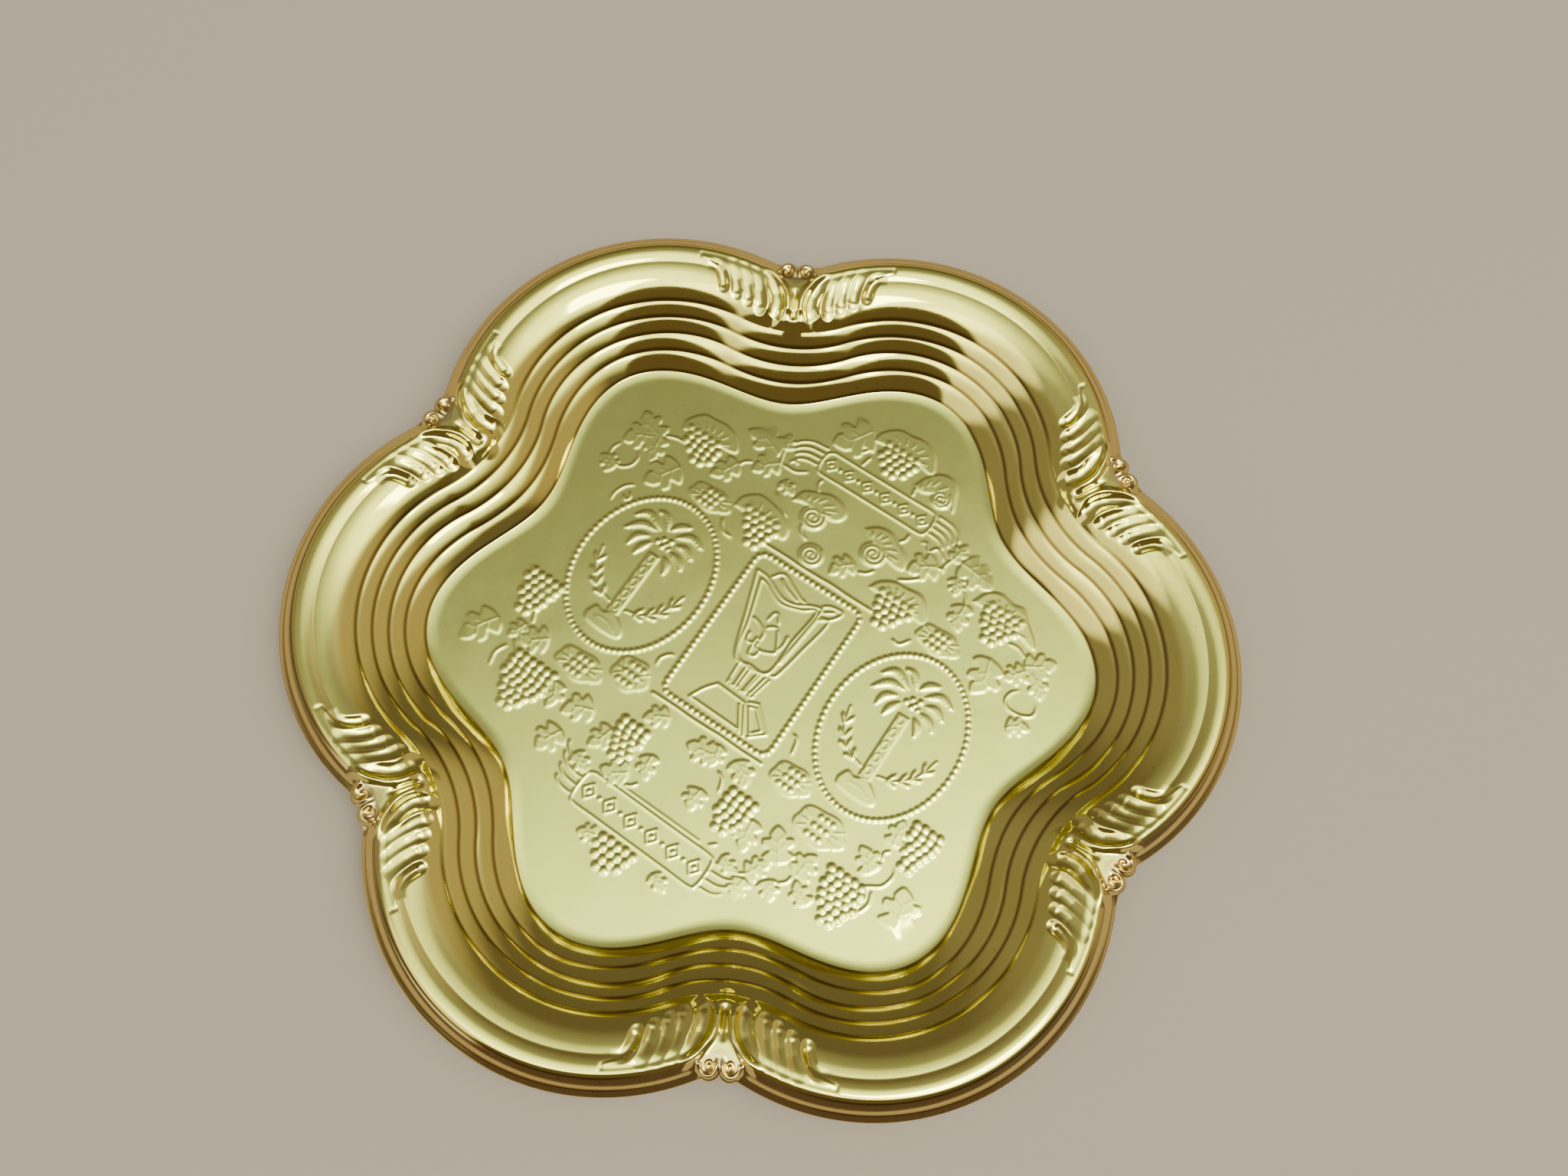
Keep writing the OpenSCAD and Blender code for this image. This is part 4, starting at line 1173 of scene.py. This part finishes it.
def floor_piece(name, k, sheets, nodes):
    """One closed piece: its upper face, its lower face and the walls between their outlines."""
    verts, norms, faces, index = [], [], [], []
    done = 0
    for side, (v, n, tris, field) in enumerate(sheets):
        own = tris[field == k]
        used = np.unique(own)
        back = np.full(len(v), -1)
        back[used] = np.arange(len(used)) + done
        verts.append(v[used])
        norms.append(n[used])
        own = back[own]
        faces += (own if side == 0 else own[:, ::-1]).tolist()
        index.append(back)
        done += len(used)
        if side == 0:
            top = tris[field == k]
    edges = np.concatenate([top[:, [0, 1]], top[:, [1, 2]], top[:, [2, 0]]])
    code = edges.min(1).astype(np.int64) * 10_000_000 + edges.max(1)
    _, first, count = np.unique(code, return_index=True, return_counts=True)
    for a, b in edges[first[count == 1]]:
        faces.append([int(index[0][b]), int(index[0][a]), int(index[1][a]), int(index[1][b])])
    make_piece(name, np.concatenate(verts), np.concatenate(norms), faces, "gilt_floor", *nodes)


build_floor()
cove_tips = spaced(FIELD_TIP, CREASES[0], 12, 0.3)
shell("floor_cove_ring", ring_angles(0), cove_tips, True, "gilt_floor", "floor_panel")


# ---- stage ----


GROUND = (0.36, 0.29, 0.285)


def build_stage():
    bpy.ops.mesh.primitive_plane_add(size=6, location=(0, 0, CAD_BOX[0].z - 0.00005))
    ground = bpy.context.object
    ground.name = "ground"
    mat = bpy.data.materials.new("pale_ground")
    g = Graph(mat)
    shader = g.node("BsdfPrincipled", {"Base Color": rgba(GROUND), "Roughness": 0.9})
    g.node("OutputMaterial", {"Surface": shader.outputs["BSDF"]})
    ground.data.materials.append(mat)


# The ceiling's brightest direction, as azimuth and elevation, then brightness and tint against the
# cosine from it. SKY_TOP is above every level, so that each colour stays under 1.
SKY_TOP = 6.0
SKY_AT = (-32, 57)
SKY = [
    (-1.0, 0.10, (1, 0.84, 0.78)), (-0.2, 0.14, (1, 0.85, 0.80)), (0.2, 0.20, (1, 0.88, 0.84)),
    (0.45, 0.29, (1, 0.99, 0.98)), (0.56, 0.36, (1, 1.04, 0.94)), (0.60, 0.46, (1, 1.07, 0.88)),
    (0.64, 0.85, (1, 1.10, 0.82)), (0.70, 1.3, (1, 1.12, 0.76)), (0.80, 2.6, (1, 1.12, 0.70)),
    (1.0, 3.4, (1, 1.09, 0.74)),
]
# Below the ceiling: height where the ceiling starts and is full, level and tint under it.
HORIZON = (0.50, 0.78, 0.15, (1, 0.84, 0.76))
# Softer, smaller glows lower down: direction, cosines where each starts and is full, level, tint.
GLOWS = [
    (195, 24, 0.66, 0.95, 0.12, (1, 0.95, 0.85)),
    (50, 32, 0.70, 0.95, 0.36, (1, 0.80, 0.50)),
    (-104, 42, 0.84, 0.93, 1.2, (1, 0.97, 0.70)),
]
# A dark patch, low on the near side, given the same way.
DARK = (-57, 14, 0.745, 0.80, 0.13, (1, 0.72, 0.56))


def direction(azimuth, elevation):
    a, e = math.radians(azimuth), math.radians(elevation)
    return math.cos(a) * math.cos(e), math.sin(a) * math.cos(e), math.sin(e)


def build_world():
    """A soft ceiling over a dim warm horizon, with lower glows and a dark low patch on the near side."""
    world = bpy.data.worlds.new("soft_room")
    bpy.context.scene.world = world
    g = Graph(world)
    coord = g.node("TexCoord").outputs["Generated"]

    def cosine_to(azimuth, elevation):
        inputs = {0: coord, 1: direction(azimuth, elevation)}
        return g.node("VectorMath", inputs, operation="DOT_PRODUCT").outputs["Value"]

    def patch(azimuth, elevation, lo, hi):
        return g.mapped(cosine_to(azimuth, elevation), lo, hi, kind="SMOOTHSTEP")

    ramp = g.node("ValToRGB", {0: g.mapped(cosine_to(*SKY_AT), -1, 1)})
    elements = ramp.color_ramp.elements
    while len(elements) < len(SKY):
        elements.new(0.5)
    for element, (at, level, tint) in zip(elements, SKY):
        element.position = (at + 1) / 2
        element.color = rgba(tint, level / SKY_TOP)
    start, full, level, tint = HORIZON
    total = g.blend(patch(0, 90, start, full), rgba(tint, level / SKY_TOP), ramp.outputs[0])
    for *where, level, tint in GLOWS:
        inputs = {0: rgba(tint, level / SKY_TOP)[:3], "Scale": patch(*where)}
        glow = g.node("VectorMath", inputs, operation="SCALE").outputs["Vector"]
        total = g.node("VectorMath", {0: total, 1: glow}, operation="ADD").outputs["Vector"]
    *where, level, tint = DARK
    total = g.blend(patch(*where), total, rgba(tint, level / SKY_TOP))
    background = g.node("Background", {"Color": total, "Strength": SKY_TOP})
    g.node("OutputWorld", {"Surface": background.outputs[0]})


def area_light(name, azimuth, elevation, distance, width, height, watts, colour):
    """A soft box that faces the plate from a direction given in degrees."""
    back = Vector(direction(azimuth, elevation))
    light = bpy.data.lights.new(name, "AREA")
    light.shape = "RECTANGLE"
    light.size, light.size_y = width, height
    light.energy = watts
    light.color = colour
    obj = bpy.data.objects.new(name, light)
    obj.location = back * distance
    obj.rotation_euler = back.to_track_quat("Z", "Y").to_euler()
    obj.visible_camera = False
    bpy.context.scene.collection.objects.link(obj)


# The camera: sensor width and focal length in mm, its directions to the right and backwards, and
# its place in metres.
SENSOR, LENS = 36, 32.87109
CAMERA_RIGHT, CAMERA_BACK = (0.81861, 0.57375, 0.02619), (0.17215, -0.28861, 0.94184)
CAMERA_AT = (0.0523, -0.0799, 0.3115)


def build_camera():
    cam = bpy.data.cameras.new("photo_view")
    cam.sensor_width, cam.lens = SENSOR, LENS
    cam.clip_start, cam.clip_end = 0.01, 20
    obj = bpy.data.objects.new("photo_view", cam)
    right, back = Vector(CAMERA_RIGHT).normalized(), Vector(CAMERA_BACK).normalized()
    turn = Matrix((right, back.cross(right), back)).transposed()
    obj.matrix_world = Matrix.Translation(CAMERA_AT) @ turn.to_4x4()
    bpy.context.scene.collection.objects.link(obj)
    bpy.context.scene.camera = obj


build_stage()
build_world()
area_light("window", -12, 67, 1.5, 0.55, 0.75, 13, (0.98, 1.04, 0.80))
build_camera()
